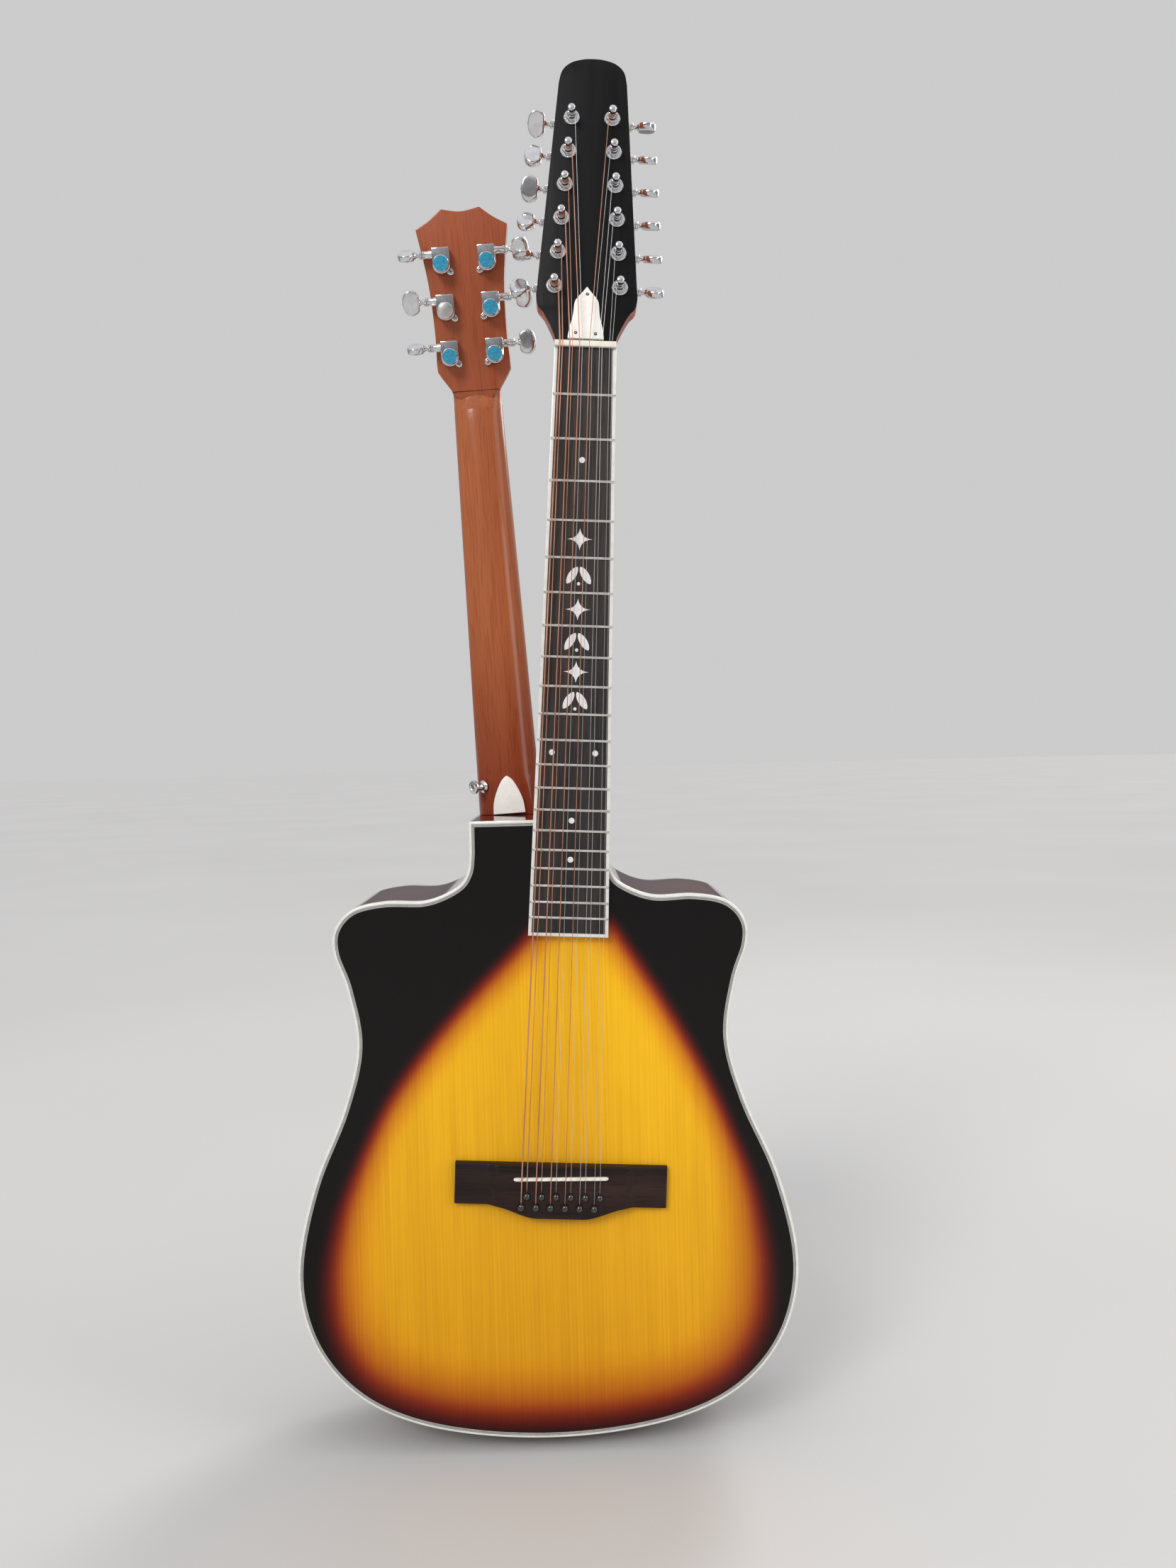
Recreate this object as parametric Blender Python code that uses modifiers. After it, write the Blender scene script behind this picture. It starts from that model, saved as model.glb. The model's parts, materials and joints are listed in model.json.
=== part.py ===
"""Double-faced bouzouki: a twelve-string bouzouki on the front, a six-string guitar on the back.

Both instruments share one hollow body. Their neck axes start at the tail of the body and splay apart by
the same angle, so the guitar side is the bouzouki side turned half a turn about the body's upright axis.

World axes: +X to the right, +Y into the body, +Z up; the bouzouki faces -Y. The origin is the centre of
the tail button's end face, on the body's upright axis.
Body axes: as the world's, from the lowest point of the bouzouki's soundboard, where the neck axes meet.
Neck axes: X across the fingerboard, Y into the wood, Z along the neck, measured from the tail.
Head axes: X across the head, Y behind its face, Z along the head, measured from the nut.
"""

import math

import bmesh
import bpy
from mathutils import Matrix, Vector

MM = 0.001
GAP = 0.3 * MM

# Body
BODY_DEPTH = 120 * MM
BODY_LENGTH = 495 * MM
TOWER_HALF = 54.5 * MM
BINDING_WIDTH = 2.2 * MM
BINDING_DROP = 6.5 * MM
TOP_THICKNESS = 3 * MM
RIB_THICKNESS = 2.8 * MM
LINING_INNER = 9 * MM
LINING_DEPTH = 16 * MM
OUTLINE_STEPS = 2
BUTTON_HEIGHT = 12 * MM

# Half of the body's outline, from the tail up the right side to the foot of the tower's corner.
HALF_OUTLINE = [
    (0, 0), (60, 4.2), (112, 16), (152, 36.5), (181.5, 68.5), (197, 108), (198.5, 152), (184, 211),
    (160, 268), (147.6, 318), (154, 363), (163.9, 393), (162.5, 413), (148, 428), (122, 433.5),
    (90, 433.4), (66, 443), (57, 454.5), (54.7, 470),
]

# Necks
SPLAY = math.radians(3.1)
SCALE = 650 * MM
NUT_AT = 863.5 * MM
SADDLE_AT = NUT_AT - SCALE
FRETS = 20
BOARD_END_AT = 403.5 * MM
BOARD_THICKNESS = 6.5 * MM
FRET_HEIGHT = 1.1 * MM
FRET_WIDTH = 2.2 * MM
NUT_THICKNESS = 5.2 * MM
NUT_TOP = 9.6 * MM
STRING_AT_NUT = 9.1 * MM
SADDLE_TOP = 12 * MM
BRIDGE_TOP = 9.3 * MM
HEEL_DEPTH = 22.2 * MM
CAP_HALF = 13.9 * MM
CAP_THICKNESS = 2.5 * MM

# Heads and tuners
HEAD_THICKNESS = 14.5 * MM
HEAD_LIFT = 2 * MM
POST_HEIGHT = 13.5 * MM
POST_RADIUS = 3 * MM
POST_WAIST = 2.4 * MM
WRAP_LEVEL = 6.5 * MM
WORM_OFFSET = 8.3 * MM
GEAR_DEPTH = 6 * MM
GEAR_RATIO = 14
WHEEL_RADIUS = 5.2 * MM
WORM_RADIUS = 2.8 * MM
SHAFT_RADIUS = 1.9 * MM
ARM_END = 15.5 * MM
BUTTON_AT = 28.5 * MM
CAD_STRING_RADIUS = 0.25 * MM

BOUZOUKI = {
    "name": "bouzouki",
    "turn": 0,
    "head_pitch": math.radians(8),
    "nut_half": 24.1 * MM,
    "body_half": 30.1 * MM,
    "head_outline": [(24, 5.8), (25.5, 14), (33, 29), (38.6, 36), (39.9, 43), (39.4, 52), (27.6, 225),
                     (25, 236), (18, 243), (8, 246.2), (0, 246.8)],
    "post_steps": 6,
    "first_post": 52 * MM,
    "post_pitch": 28.6 * MM,
    "post_half": 25.8 * MM,
    "post_taper": 1.9 * MM,
    "nut_strings": [-19.9, -17.8, -12.2, -10.1, -4.6, -2.4, 3.0, 5.1, 10.8, 12.9, 18.6, 20.7],
    "course_pitch": 11.5 * MM,
    "pin_stagger": 2.1 * MM,
    "pin_rows": (197.9 * MM, 189.2 * MM),
    "bridge_half": 84 * MM,
    "saddle_half": 37.2 * MM,
    "key_angles": {"right": [129, 122, 119, 123, 124, 114], "left": [-29, 114, -28, 17, -16, 42]},
}
GUITAR = {
    "name": "guitar",
    "turn": math.pi,
    "head_pitch": math.radians(12),
    "nut_half": 21.0 * MM,
    "body_half": 27.6 * MM,
    "head_outline": [(20.8, 5.8), (22, 9), (30, 21), (31.8, 28), (30.9, 56), (32.7, 97), (39, 139),
                     (16.3, 153.8), (5, 151.6), (0, 151.2)],
    "post_steps": 3,
    "first_post": 34.6 * MM,
    "post_pitch": 37.3 * MM,
    "post_half": 19.3 * MM,
    "post_taper": 0,
    "nut_strings": [-17.5, -10.5, -3.5, 3.5, 10.5, 17.5],
    "course_pitch": 10.8 * MM,
    "pin_stagger": 0,
    "pin_rows": (197.9 * MM,),
    "bridge_half": 78 * MM,
    "saddle_half": 36 * MM,
    "key_angles": {"right": [70, -12, 66], "left": [3, -27, -30]},
}

CHROME = ((0.75, 0.75, 0.77), 0.12, 1.0)
BONE = ((0.92, 0.90, 0.84), 0.35, 0.0)
MAHOGANY = ((0.42, 0.15, 0.06), 0.35, 0.0)
ROSEWOOD = ((0.05, 0.03, 0.025), 0.45, 0.0)
AMBER_TOP = ((0.55, 0.28, 0.04), 0.15, 0.0)
RIB_BROWN = ((0.10, 0.02, 0.012), 0.12, 0.0)
BRONZE = ((0.65, 0.38, 0.27), 0.3, 1.0)


# ---------------------------------------------------------------- scene and mesh helpers

def clear_scene():
    """Remove everything that a new file starts with."""
    for obj in list(bpy.data.objects):
        bpy.data.objects.remove(obj, do_unlink=True)


def part_collection():
    """The collection that holds the finished parts."""
    collection = bpy.data.collections.get("bouzouki")
    if collection is None:
        collection = bpy.data.collections.new("bouzouki")
        bpy.context.scene.collection.children.link(collection)
    return collection


def link(obj):
    """Put a working object where modifiers can be evaluated."""
    bpy.context.scene.collection.objects.link(obj)
    return obj


def baked(obj):
    """The mesh that an object's curve or modifiers make, welded, as a new object in the same place."""
    bpy.context.view_layer.update()
    graph = bpy.context.evaluated_depsgraph_get()
    mesh = bpy.data.meshes.new_from_object(obj.evaluated_get(graph))
    work = bmesh.new()
    work.from_mesh(mesh)
    bmesh.ops.remove_doubles(work, verts=work.verts, dist=1e-6)
    work.to_mesh(mesh)
    work.free()
    result = bpy.data.objects.new(obj.name, mesh)
    result.matrix_world = obj.matrix_world.copy()
    bpy.data.objects.remove(obj, do_unlink=True)
    return link(result)


def from_bmesh(work, matrix=None):
    """A working object from a bmesh."""
    mesh = bpy.data.meshes.new("shape")
    bmesh.ops.recalc_face_normals(work, faces=work.faces)
    work.to_mesh(mesh)
    work.free()
    obj = bpy.data.objects.new("shape", mesh)
    obj.matrix_world = matrix or Matrix.Identity(4)
    return link(obj)


def box(low, high, matrix=None):
    """A block between two corners."""
    low = Vector(low)
    high = Vector(high)
    work = bmesh.new()
    bmesh.ops.create_cube(work, size=1)
    size = high - low
    bmesh.ops.scale(work, vec=size, verts=work.verts)
    bmesh.ops.translate(work, vec=(low + high) / 2, verts=work.verts)
    return from_bmesh(work, matrix)


def rod(radius, start, end, sides=10, matrix=None):
    """A cylinder between two points."""
    start = Vector(start)
    end = Vector(end)
    work = bmesh.new()
    bmesh.ops.create_cone(work, cap_ends=True, segments=sides, radius1=radius, radius2=radius,
                          depth=(end - start).length)
    aim = Vector((0, 0, 1)).rotation_difference(end - start).to_matrix().to_4x4()
    bmesh.ops.transform(work, matrix=Matrix.Translation((start + end) / 2) @ aim, verts=work.verts)
    return from_bmesh(work, matrix)


def plate(loops, y_low, y_high, matrix=None):
    """A flat board: outlines in X and Z, extruded between two depths."""
    curve = bpy.data.curves.new("plate", "CURVE")
    curve.dimensions = "2D"
    curve.fill_mode = "BOTH"
    curve.extrude = (y_high - y_low) / 2
    for loop in loops:
        spline = curve.splines.new("POLY")
        spline.points.add(len(loop) - 1)
        for point, (x, z) in zip(spline.points, loop):
            point.co = (x, z, 0, 1)
        spline.use_cyclic_u = True
    obj = link(bpy.data.objects.new("plate", curve))
    lay_flat = Matrix.Translation((0, (y_low + y_high) / 2, 0)) @ Matrix.Rotation(math.pi / 2, 4, "X")
    obj.matrix_world = (matrix or Matrix.Identity(4)) @ lay_flat
    return baked(obj)


def turned(profile, sides, matrix=None):
    """A turned shape about Z from (radius, height) points that run down the outer side."""
    mesh = bpy.data.meshes.new("turned")
    edges = [(i, i + 1) for i in range(len(profile) - 1)]
    mesh.from_pydata([(radius, 0, height) for radius, height in profile], edges, [])
    obj = link(bpy.data.objects.new("turned", mesh))
    screw = obj.modifiers.new("turn", "SCREW")
    screw.steps = sides
    screw.render_steps = sides
    screw.use_merge_vertices = True
    screw.merge_threshold = 1e-6
    obj.matrix_world = matrix or Matrix.Identity(4)
    return baked(obj)


def tube(points, radius):
    """A six-sided wire through the points."""
    curve = bpy.data.curves.new("tube", "CURVE")
    curve.dimensions = "3D"
    curve.bevel_depth = radius
    curve.bevel_resolution = 1
    curve.use_fill_caps = True
    spline = curve.splines.new("POLY")
    spline.points.add(len(points) - 1)
    for point, place in zip(spline.points, points):
        point.co = (*place, 1)
    return baked(link(bpy.data.objects.new("tube", curve)))


def loft(rings, matrix=None):
    """A closed solid through rings with equal point counts."""
    work = bmesh.new()
    rows = [[work.verts.new(point) for point in ring] for ring in rings]
    count = len(rings[0])
    for lower, upper in zip(rows, rows[1:]):
        for i in range(count):
            j = (i + 1) % count
            work.faces.new((lower[i], lower[j], upper[j], upper[i]))
    work.faces.new(rows[0])
    work.faces.new(rows[-1])
    return from_bmesh(work, matrix)


def combined(base, operation, tools):
    """The base joined with, or cut by, each tool in turn; the tools are used up."""
    for tool in tools:
        modifier = base.modifiers.new("boolean", "BOOLEAN")
        modifier.operation = operation
        modifier.solver = "EXACT"
        modifier.object = tool
        base = baked(base)
        bpy.data.objects.remove(tool, do_unlink=True)
    return base


def joined(base, *tools):
    """Boolean union."""
    return combined(base, "UNION", tools)


def cut(base, *tools):
    """Boolean difference."""
    return combined(base, "DIFFERENCE", tools)


def mirrored_mesh(mesh):
    """The mirror image of a mesh across X."""
    work = bmesh.new()
    work.from_mesh(mesh)
    bmesh.ops.scale(work, vec=(-1, 1, 1), verts=work.verts)
    bmesh.ops.reverse_faces(work, faces=work.faces)
    result = bpy.data.meshes.new(mesh.name + "_mirrored")
    work.to_mesh(result)
    work.free()
    return result


def make_material(name, look):
    """A Principled material from (colour, roughness, metallic)."""
    colour, roughness, metallic = look
    material = bpy.data.materials.new(name)
    material.use_nodes = True
    shader = material.node_tree.nodes["Principled BSDF"]
    shader.inputs["Base Color"].default_value = (*colour, 1)
    shader.inputs["Roughness"].default_value = roughness
    shader.inputs["Metallic"].default_value = metallic
    return material


def place_mesh(name, mesh, matrix, look, smooth=False):
    """A finished part from a mesh, which several parts may share."""
    part = bpy.data.objects.new(name, mesh)
    part.matrix_world = matrix
    part_collection().objects.link(part)
    if smooth:
        mesh.shade_smooth()
        mesh.set_sharp_from_angle(angle=math.radians(35))
    if not mesh.materials:
        mesh.materials.append(None)
    part.material_slots[0].link = "OBJECT"
    part.material_slots[0].material = make_material(name, look)
    return part


def finish(name, obj, look, smooth=False):
    """Turn a working object into a finished part."""
    mesh = obj.data
    mesh.name = name
    matrix = obj.matrix_world.copy()
    bpy.data.objects.remove(obj, do_unlink=True)
    return place_mesh(name, mesh, matrix, look, smooth)


# ---------------------------------------------------------------- outlines and frames

def smooth_path(points, steps):
    """Points on a Catmull-Rom curve through the given points, ends included."""
    padded = [points[0]] + list(points) + [points[-1]]
    path = []
    for before, start, end, after in zip(padded, padded[1:], padded[2:], padded[3:]):
        for step in range(steps):
            t = step / steps
            path.append(tuple(catmull(before[k], start[k], end[k], after[k], t) for k in range(2)))
    path.append(tuple(points[-1]))
    return path


def catmull(a, b, c, d, t):
    """One coordinate of a Catmull-Rom span from b to c."""
    bend = 2 * a - 5 * b + 4 * c - d
    twist = 3 * b - a - 3 * c + d
    return 0.5 * (2 * b + (c - a) * t + bend * t * t + twist * t * t * t)


def body_outline():
    """The body's closed outline, counter-clockwise from the tail."""
    half = smooth_path(HALF_OUTLINE, OUTLINE_STEPS)
    half = [(x * MM, z * MM) for x, z in half]
    half.append((TOWER_HALF, BODY_LENGTH))
    other = [(-x, z) for x, z in reversed(half[1:])]
    return half + other


def inset(loop, distance):
    """A closed counter-clockwise outline moved inwards."""
    moved = []
    count = len(loop)
    for i in range(count):
        here = Vector(loop[i])
        back = (here - Vector(loop[i - 1])).normalized()
        ahead = (Vector(loop[(i + 1) % count]) - here).normalized()
        side_a = Vector((-back.y, back.x))
        side_b = Vector((-ahead.y, ahead.x))
        shift = (side_a + side_b) / (1 + side_a.dot(side_b))
        moved.append(tuple(here + shift * distance))
    return moved


def mirrored_outline(half):
    """A closed outline from its right half, given in millimetres from bottom to top."""
    right = [(x * MM, z * MM) for x, z in half]
    left = [(-x, z) for x, z in reversed(right) if x > 0]
    return right + left


def body_frame():
    """The body's frame, above the tail button."""
    return Matrix.Translation((0, -BODY_DEPTH / 2, BUTTON_HEIGHT + GAP))


def face_frame(spec):
    """The frame of one face of the body: the front as it is, the back turned half a turn."""
    return Matrix.Rotation(spec["turn"], 4, "Z") @ body_frame()


def neck_frame(spec):
    """The frame of a neck, with Z along its axis."""
    return face_frame(spec) @ Matrix.Rotation(SPLAY, 4, "Y")


def head_frame(spec):
    """The frame of a head, with Z up its face."""
    start = Matrix.Translation((0, -HEAD_LIFT, NUT_AT))
    return neck_frame(spec) @ start @ Matrix.Rotation(-spec["head_pitch"], 4, "X")


def half_width(spec, along):
    """Half the neck's width at a distance from the tail."""
    body_at = BODY_LENGTH / math.cos(SPLAY)
    slope = (spec["body_half"] - spec["nut_half"]) / (NUT_AT - body_at)
    return spec["nut_half"] + slope * (NUT_AT - along)


def fret_at(number):
    """Where a fret crosses the neck: each fret shortens the string by a twelfth root of two."""
    return SADDLE_AT + SCALE * 2 ** (-number / 12)


def post_places(spec):
    """(side name, side sign, number, X, Z) of every string post on a head."""
    places = []
    for side_name, side in (("left", -1), ("right", 1)):
        for step in range(spec["post_steps"]):
            across = side * (spec["post_half"] - step * spec["post_taper"])
            along = spec["first_post"] + step * spec["post_pitch"]
            places.append((side_name, side, step + 1, across, along))
    return places


# ---------------------------------------------------------------- body

def swept_frame(outline, profile):
    """A closed frame that follows an outline, from (inset, depth) points round its section."""
    work = bmesh.new()
    rows = []
    for distance, depth in profile:
        rows.append([work.verts.new((x, depth, z)) for x, z in inset(outline, distance)])
    count = len(outline)
    for row, following in zip(rows, rows[1:] + rows[:1]):
        for i in range(count):
            j = (i + 1) % count
            work.faces.new((row[i], row[j], following[j], following[i]))
    return from_bmesh(work, body_frame())


def make_sides(outline):
    """Ribs with their linings, the neck block in the tower and the tail block, notched for the binding."""
    rear = BODY_DEPTH
    rib_low = BINDING_DROP + GAP
    board = TOP_THICKNESS + GAP
    ledge = BINDING_WIDTH + GAP
    front_half = [(RIB_THICKNESS, LINING_DEPTH), (LINING_INNER, LINING_DEPTH), (LINING_INNER, board),
                  (ledge, board), (ledge, rib_low), (0, rib_low)]
    rear_half = [(distance, rear - depth) for distance, depth in reversed(front_half)]
    sides = swept_frame(outline, front_half + rear_half)
    edge = TOWER_HALF - BINDING_WIDTH - GAP
    top = BODY_LENGTH - BINDING_WIDTH - GAP
    frame = body_frame()
    neck_block = box((-edge, board, 440 * MM), (edge, rear - board, top), frame)
    tail_block = box((-35 * MM, rib_low, 2 * MM), (35 * MM, rear - rib_low, 28 * MM), frame)
    sides = joined(sides, neck_block, tail_block)
    notches = []
    for side in (-1, 1):
        near = side * edge
        far = side * (TOWER_HALF + 1 * MM)
        low = (min(near, far), -1 * MM, top)
        high = (max(near, far), rear + 1 * MM, BODY_LENGTH + 1 * MM)
        notches.append(box(low, high, frame))
    finish("body_sides", cut(sides, *notches), RIB_BROWN)


def make_binding(outline):
    """White edging round both faces, joined by the strips down the tower's two corners."""
    section = [(0, BINDING_DROP), (BINDING_WIDTH, BINDING_DROP), (BINDING_WIDTH, 0), (0, 0)]
    binding = swept_frame(outline, section)
    rear_ring = swept_frame(outline, [(distance, BODY_DEPTH - depth) for distance, depth in section])
    strips = []
    for side in (-1, 1):
        xs = sorted((side * TOWER_HALF, side * (TOWER_HALF - BINDING_WIDTH)))
        low = (xs[0], BINDING_DROP - 2 * MM, BODY_LENGTH - BINDING_WIDTH)
        high = (xs[1], BODY_DEPTH - BINDING_DROP + 2 * MM, BODY_LENGTH)
        strips.append(box(low, high, body_frame()))
    finish("body_binding", joined(binding, *strips, rear_ring), BONE)


def brace(centre, length, angle, frame, height=8 * MM, width=7 * MM):
    """A wooden bar glued under a soundboard."""
    turn = Matrix.Rotation(math.radians(angle), 4, "Y")
    matrix = frame @ Matrix.Translation((centre[0] * MM, 0, centre[1] * MM)) @ turn
    low = (-length / 2 * MM, TOP_THICKNESS - 0.4 * MM, -width / 2)
    high = (length / 2 * MM, TOP_THICKNESS + height, width / 2)
    return box(low, high, matrix)


def make_front_soundboard(outline):
    """The bouzouki's soundboard, without a soundhole, with its braces."""
    frame = face_frame(BOUZOUKI)
    board = plate([inset(outline, BINDING_WIDTH + GAP)], 0, TOP_THICKNESS, frame)
    bars = [
        brace((0, 408), 268, 0, frame),
        brace((0, 300), 268, 0, frame),
        brace((11, 205), 190, 0, frame, height=3 * MM, width=45 * MM),
        brace((-62, 120), 150, -62, frame),
        brace((62, 120), 150, 62, frame),
    ]
    finish("front_soundboard", joined(board, *bars), AMBER_TOP)


def circle(centre, radius, sides):
    """A closed round outline."""
    x, z = centre
    turns = [math.tau * i / sides for i in range(sides)]
    return [(x + radius * math.cos(a), z + radius * math.sin(a)) for a in turns]


def make_rear_soundboard(outline):
    """The guitar's soundboard, with its round soundhole and braces."""
    frame = face_frame(GUITAR)
    hole_at = 353 * MM
    centre = (hole_at * math.sin(SPLAY), hole_at * math.cos(SPLAY))
    loops = [inset(outline, BINDING_WIDTH + GAP), circle(centre, 50 * MM, 32)]
    board = plate(loops, 0, TOP_THICKNESS, frame)
    bars = [
        brace((0, 411), 266, 0, frame),
        brace((11, 205), 170, 0, frame, height=3 * MM, width=45 * MM),
        brace((-44, 235), 240, 58, frame),
        brace((44, 235), 240, -58, frame),
        brace((0, 90), 200, 0, frame),
    ]
    finish("rear_soundboard", joined(board, *bars), AMBER_TOP)


def strap_button(name, frame):
    """A turned strap button that stands along +Z from its base."""
    top = BUTTON_HEIGHT / MM
    profile = [(0, top), (5, top), (6, top - 1.2), (6, top - 2.4), (3, top - 4.4), (3.2, 3), (5.5, 0), (0, 0)]
    profile = [(radius * MM, height * MM) for radius, height in profile]
    finish(name, turned(profile, 12, frame), CHROME, smooth=True)


def make_strap_buttons():
    """One button at the tail and one on the flank of the guitar's heel."""
    tail = Matrix.Translation((0, 0, BUTTON_HEIGHT)) @ Matrix.Rotation(math.pi, 4, "X")
    strap_button("end_strap_button", tail)
    along = 522 * MM
    lean = math.radians(42)
    reach = flank_reach(GUITAR, along, lean) + 0.8 * MM
    base = Vector((math.cos(lean) * reach, math.sin(lean) * reach, along))
    aim = Vector((math.cos(lean), math.sin(lean), 0))
    turn = Vector((0, 0, 1)).rotation_difference(aim).to_matrix().to_4x4()
    strap_button("heel_strap_button", neck_frame(GUITAR) @ Matrix.Translation(base) @ turn)


# ---------------------------------------------------------------- necks

def neck_section(half, depth, flat, along, top=0.0, tilt=0.0):
    """A neck's cross-section: level on top, round behind, with a flat of a given half-width."""
    ring = []
    count = 10
    for i in range(count + 1):
        angle = math.pi * i / count
        swell = math.cos(angle)
        x = flat * max(-1, min(1, 3 * swell)) + (half - flat) * swell
        y = top + (depth - top) * math.sin(angle) ** 0.75
        ring.append((x, y, along + tilt * x))
    return ring


def flank_reach(spec, along, lean):
    """How far the heel's surface is from the neck's axis, in a direction below the level."""
    half = half_width(spec, along)
    reach = 0
    for x, y, _ in neck_section(half, HEEL_DEPTH, 9 * MM, along):
        reach = max(reach, x * math.cos(lean) + y * math.sin(lean))
    return reach


def neck_rings(spec):
    """The neck's cross-sections from the heel, which stands on the tower, to the head."""
    clear = BODY_LENGTH + GAP
    slope = math.tan(SPLAY)
    end = clear / math.cos(SPLAY)
    rings = [neck_section(half_width(spec, end), HEEL_DEPTH, 15 * MM, end, tilt=slope)]
    stations = [(512, 22.2, 13), (524, 22.1, 9), (536, 21.9, 3), (565, 21.4, 0), (700, 20.6, 0), (846, 20, 0)]
    for along, depth, flat in stations:
        half = half_width(spec, along * MM)
        rings.append(neck_section(half, depth * MM, flat * MM, along * MM))
    nut_half = spec["nut_half"] - 0.1 * MM
    rings.append(neck_section(nut_half, 18.5 * MM, 0, 862 * MM))
    rings.append(neck_section(nut_half, 15.5 * MM, 4 * MM, 872 * MM, top=0.6 * MM))
    rings.append(neck_section(nut_half, 13.5 * MM, 6 * MM, 886 * MM, top=5 * MM))
    return rings


def heel_cap(spec, low):
    """The pointed plate on the heel, from a given depth."""
    start = (BODY_LENGTH + GAP) / math.cos(SPLAY) / MM + 1
    half = [(CAP_HALF / MM, start), (12.9, start + 10), (9.6, start + 20), (4.8, start + 29), (0, start + 33)]
    high = HEEL_DEPTH + GAP + CAP_THICKNESS
    return plate([mirrored_outline(half)], low, high, neck_frame(spec))


def make_neck(spec):
    """Neck shaft and heel in one piece with the head, bored for the tuners."""
    neck = loft(neck_rings(spec), neck_frame(spec))
    head = plate([mirrored_outline(spec["head_outline"])], 0, HEAD_THICKNESS, head_frame(spec))
    neck = joined(neck, head)
    if spec is BOUZOUKI:
        neck = joined(neck, heel_cap(spec, HEEL_DEPTH - 2 * MM))
    bores = []
    for _, _, _, across, along in post_places(spec):
        seat = head_frame(spec) @ Matrix.Translation((across, 0, along))
        bores.append(post_turned([(0, 5), (4.9, 5), (4.9, -20), (0, -20)], 8, seat))
    finish(spec["name"] + "_neck", cut(neck, *bores), MAHOGANY, smooth=True)


def make_fingerboard(spec):
    """Fingerboard with its frets."""
    start = BOARD_END_AT
    end = NUT_AT - GAP
    narrow = half_width(spec, end)
    wide = half_width(spec, start)
    outline = [(-wide, start), (wide, start), (narrow, end), (-narrow, end)]
    top = GAP + BOARD_THICKNESS
    frame = neck_frame(spec)
    board = plate([outline], -top, -GAP, frame)
    frets = []
    for number in range(1, FRETS + 1):
        middle = fret_at(number)
        reach = half_width(spec, middle) - 0.4 * MM
        low = (-reach, -top - FRET_HEIGHT, middle - FRET_WIDTH / 2)
        high = (reach, -top + 0.5 * MM, middle + FRET_WIDTH / 2)
        frets.append(box(low, high, frame))
    finish(spec["name"] + "_fingerboard", joined(board, *frets), ROSEWOOD)


def pin_places(spec):
    """(X, Z) of every bridge pin, in the order of the strings across the nut."""
    rows = spec["pin_rows"]
    courses = len(spec["nut_strings"]) // len(rows)
    places = []
    for course in range(courses):
        middle = (course - (courses - 1) / 2) * spec["course_pitch"]
        if len(rows) == 1:
            places.append((middle, rows[0]))
        else:
            places.append((middle - spec["pin_stagger"], rows[1]))
            places.append((middle + spec["pin_stagger"], rows[0]))
    return places


def make_bridge(spec):
    """Bridge with lower wings and a belly, its saddle and its ball-headed pins."""
    frame = neck_frame(spec)
    half = spec["bridge_half"] / MM
    wing = [(half, 189), (half, 222)]
    belly = [(22, 179.8), (40, 181.4), (53, 188.9), (53, 222)]
    bridge = plate([mirrored_outline(wing)], -5.5 * MM, -GAP, frame)
    middle = plate([mirrored_outline(belly)], -BRIDGE_TOP, -GAP - 0.001 * MM, frame)
    saddle_half = spec["saddle_half"]
    low = (-saddle_half, -SADDLE_TOP, SADDLE_AT - 2.6 * MM)
    high = (saddle_half, -BRIDGE_TOP + 1 * MM, SADDLE_AT + 0.2 * MM)
    saddle = box(low, high, frame)
    pins = []
    for x, z in pin_places(spec):
        pins.append(rod(2.9 * MM, (x, -BRIDGE_TOP - 3.4 * MM, z), (x, -BRIDGE_TOP + 1 * MM, z), 8, frame))
    finish(spec["name"] + "_bridge", joined(bridge, middle, saddle, *pins), ROSEWOOD)


def string_posts(spec):
    """The post of each string, in the order of the strings across the nut."""
    left = [place for place in post_places(spec) if place[1] < 0]
    right = [place for place in post_places(spec) if place[1] > 0]
    return left + right[::-1]


def string_path(spec, nut_x, pin, post):
    """One string from its bridge pin over the saddle and nut, and most of a turn round its post."""
    _, side, _, across, along = post
    neck = neck_frame(spec)
    head = head_frame(spec)
    clear = GAP + CAD_STRING_RADIUS
    path = [
        neck @ Vector((pin[0], -BRIDGE_TOP - clear, pin[1] + 3.6 * MM)),
        neck @ Vector((pin[0], -SADDLE_TOP - clear, SADDLE_AT - 1.2 * MM)),
        neck @ Vector((nut_x * MM, -STRING_AT_NUT, NUT_AT + NUT_THICKNESS / 2)),
    ]
    wrap = POST_WAIST + clear
    for step in range(4):
        angle = math.radians(60 * step)
        x = across - side * wrap * math.cos(angle)
        z = along + wrap * math.sin(angle)
        path.append(head @ Vector((x, -WRAP_LEVEL + step * 0.08 * MM, z)))
    return path


def make_strings(spec):
    """All strings of one neck, held in the nut."""
    frame = neck_frame(spec)
    half = half_width(spec, NUT_AT)
    low = (-half, -NUT_TOP, NUT_AT)
    high = (half, -GAP, NUT_AT + NUT_THICKNESS)
    nut = box(low, high, frame)
    strings = []
    for nut_x, pin, post in zip(spec["nut_strings"], pin_places(spec), string_posts(spec)):
        strings.append(tube(string_path(spec, nut_x, pin, post), CAD_STRING_RADIUS))
    finish(spec["name"] + "_nut_and_strings", joined(nut, *strings), BRONZE)


def make_rod_cover():
    """The bell-shaped white cover on the bouzouki's head."""
    half = [(14.2, 8), (13.2, 16), (10.6, 27), (9.5, 37.5), (7.2, 42), (3.4, 46.5), (0, 51)]
    cover = plate([mirrored_outline(half)], -GAP - 2 * MM, -GAP, head_frame(BOUZOUKI))
    finish("truss_rod_cover", cover, BONE)


# ---------------------------------------------------------------- tuners

def gear_level():
    """Depth of the worm's axis behind the head's face."""
    return HEAD_THICKNESS + GEAR_DEPTH


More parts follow.
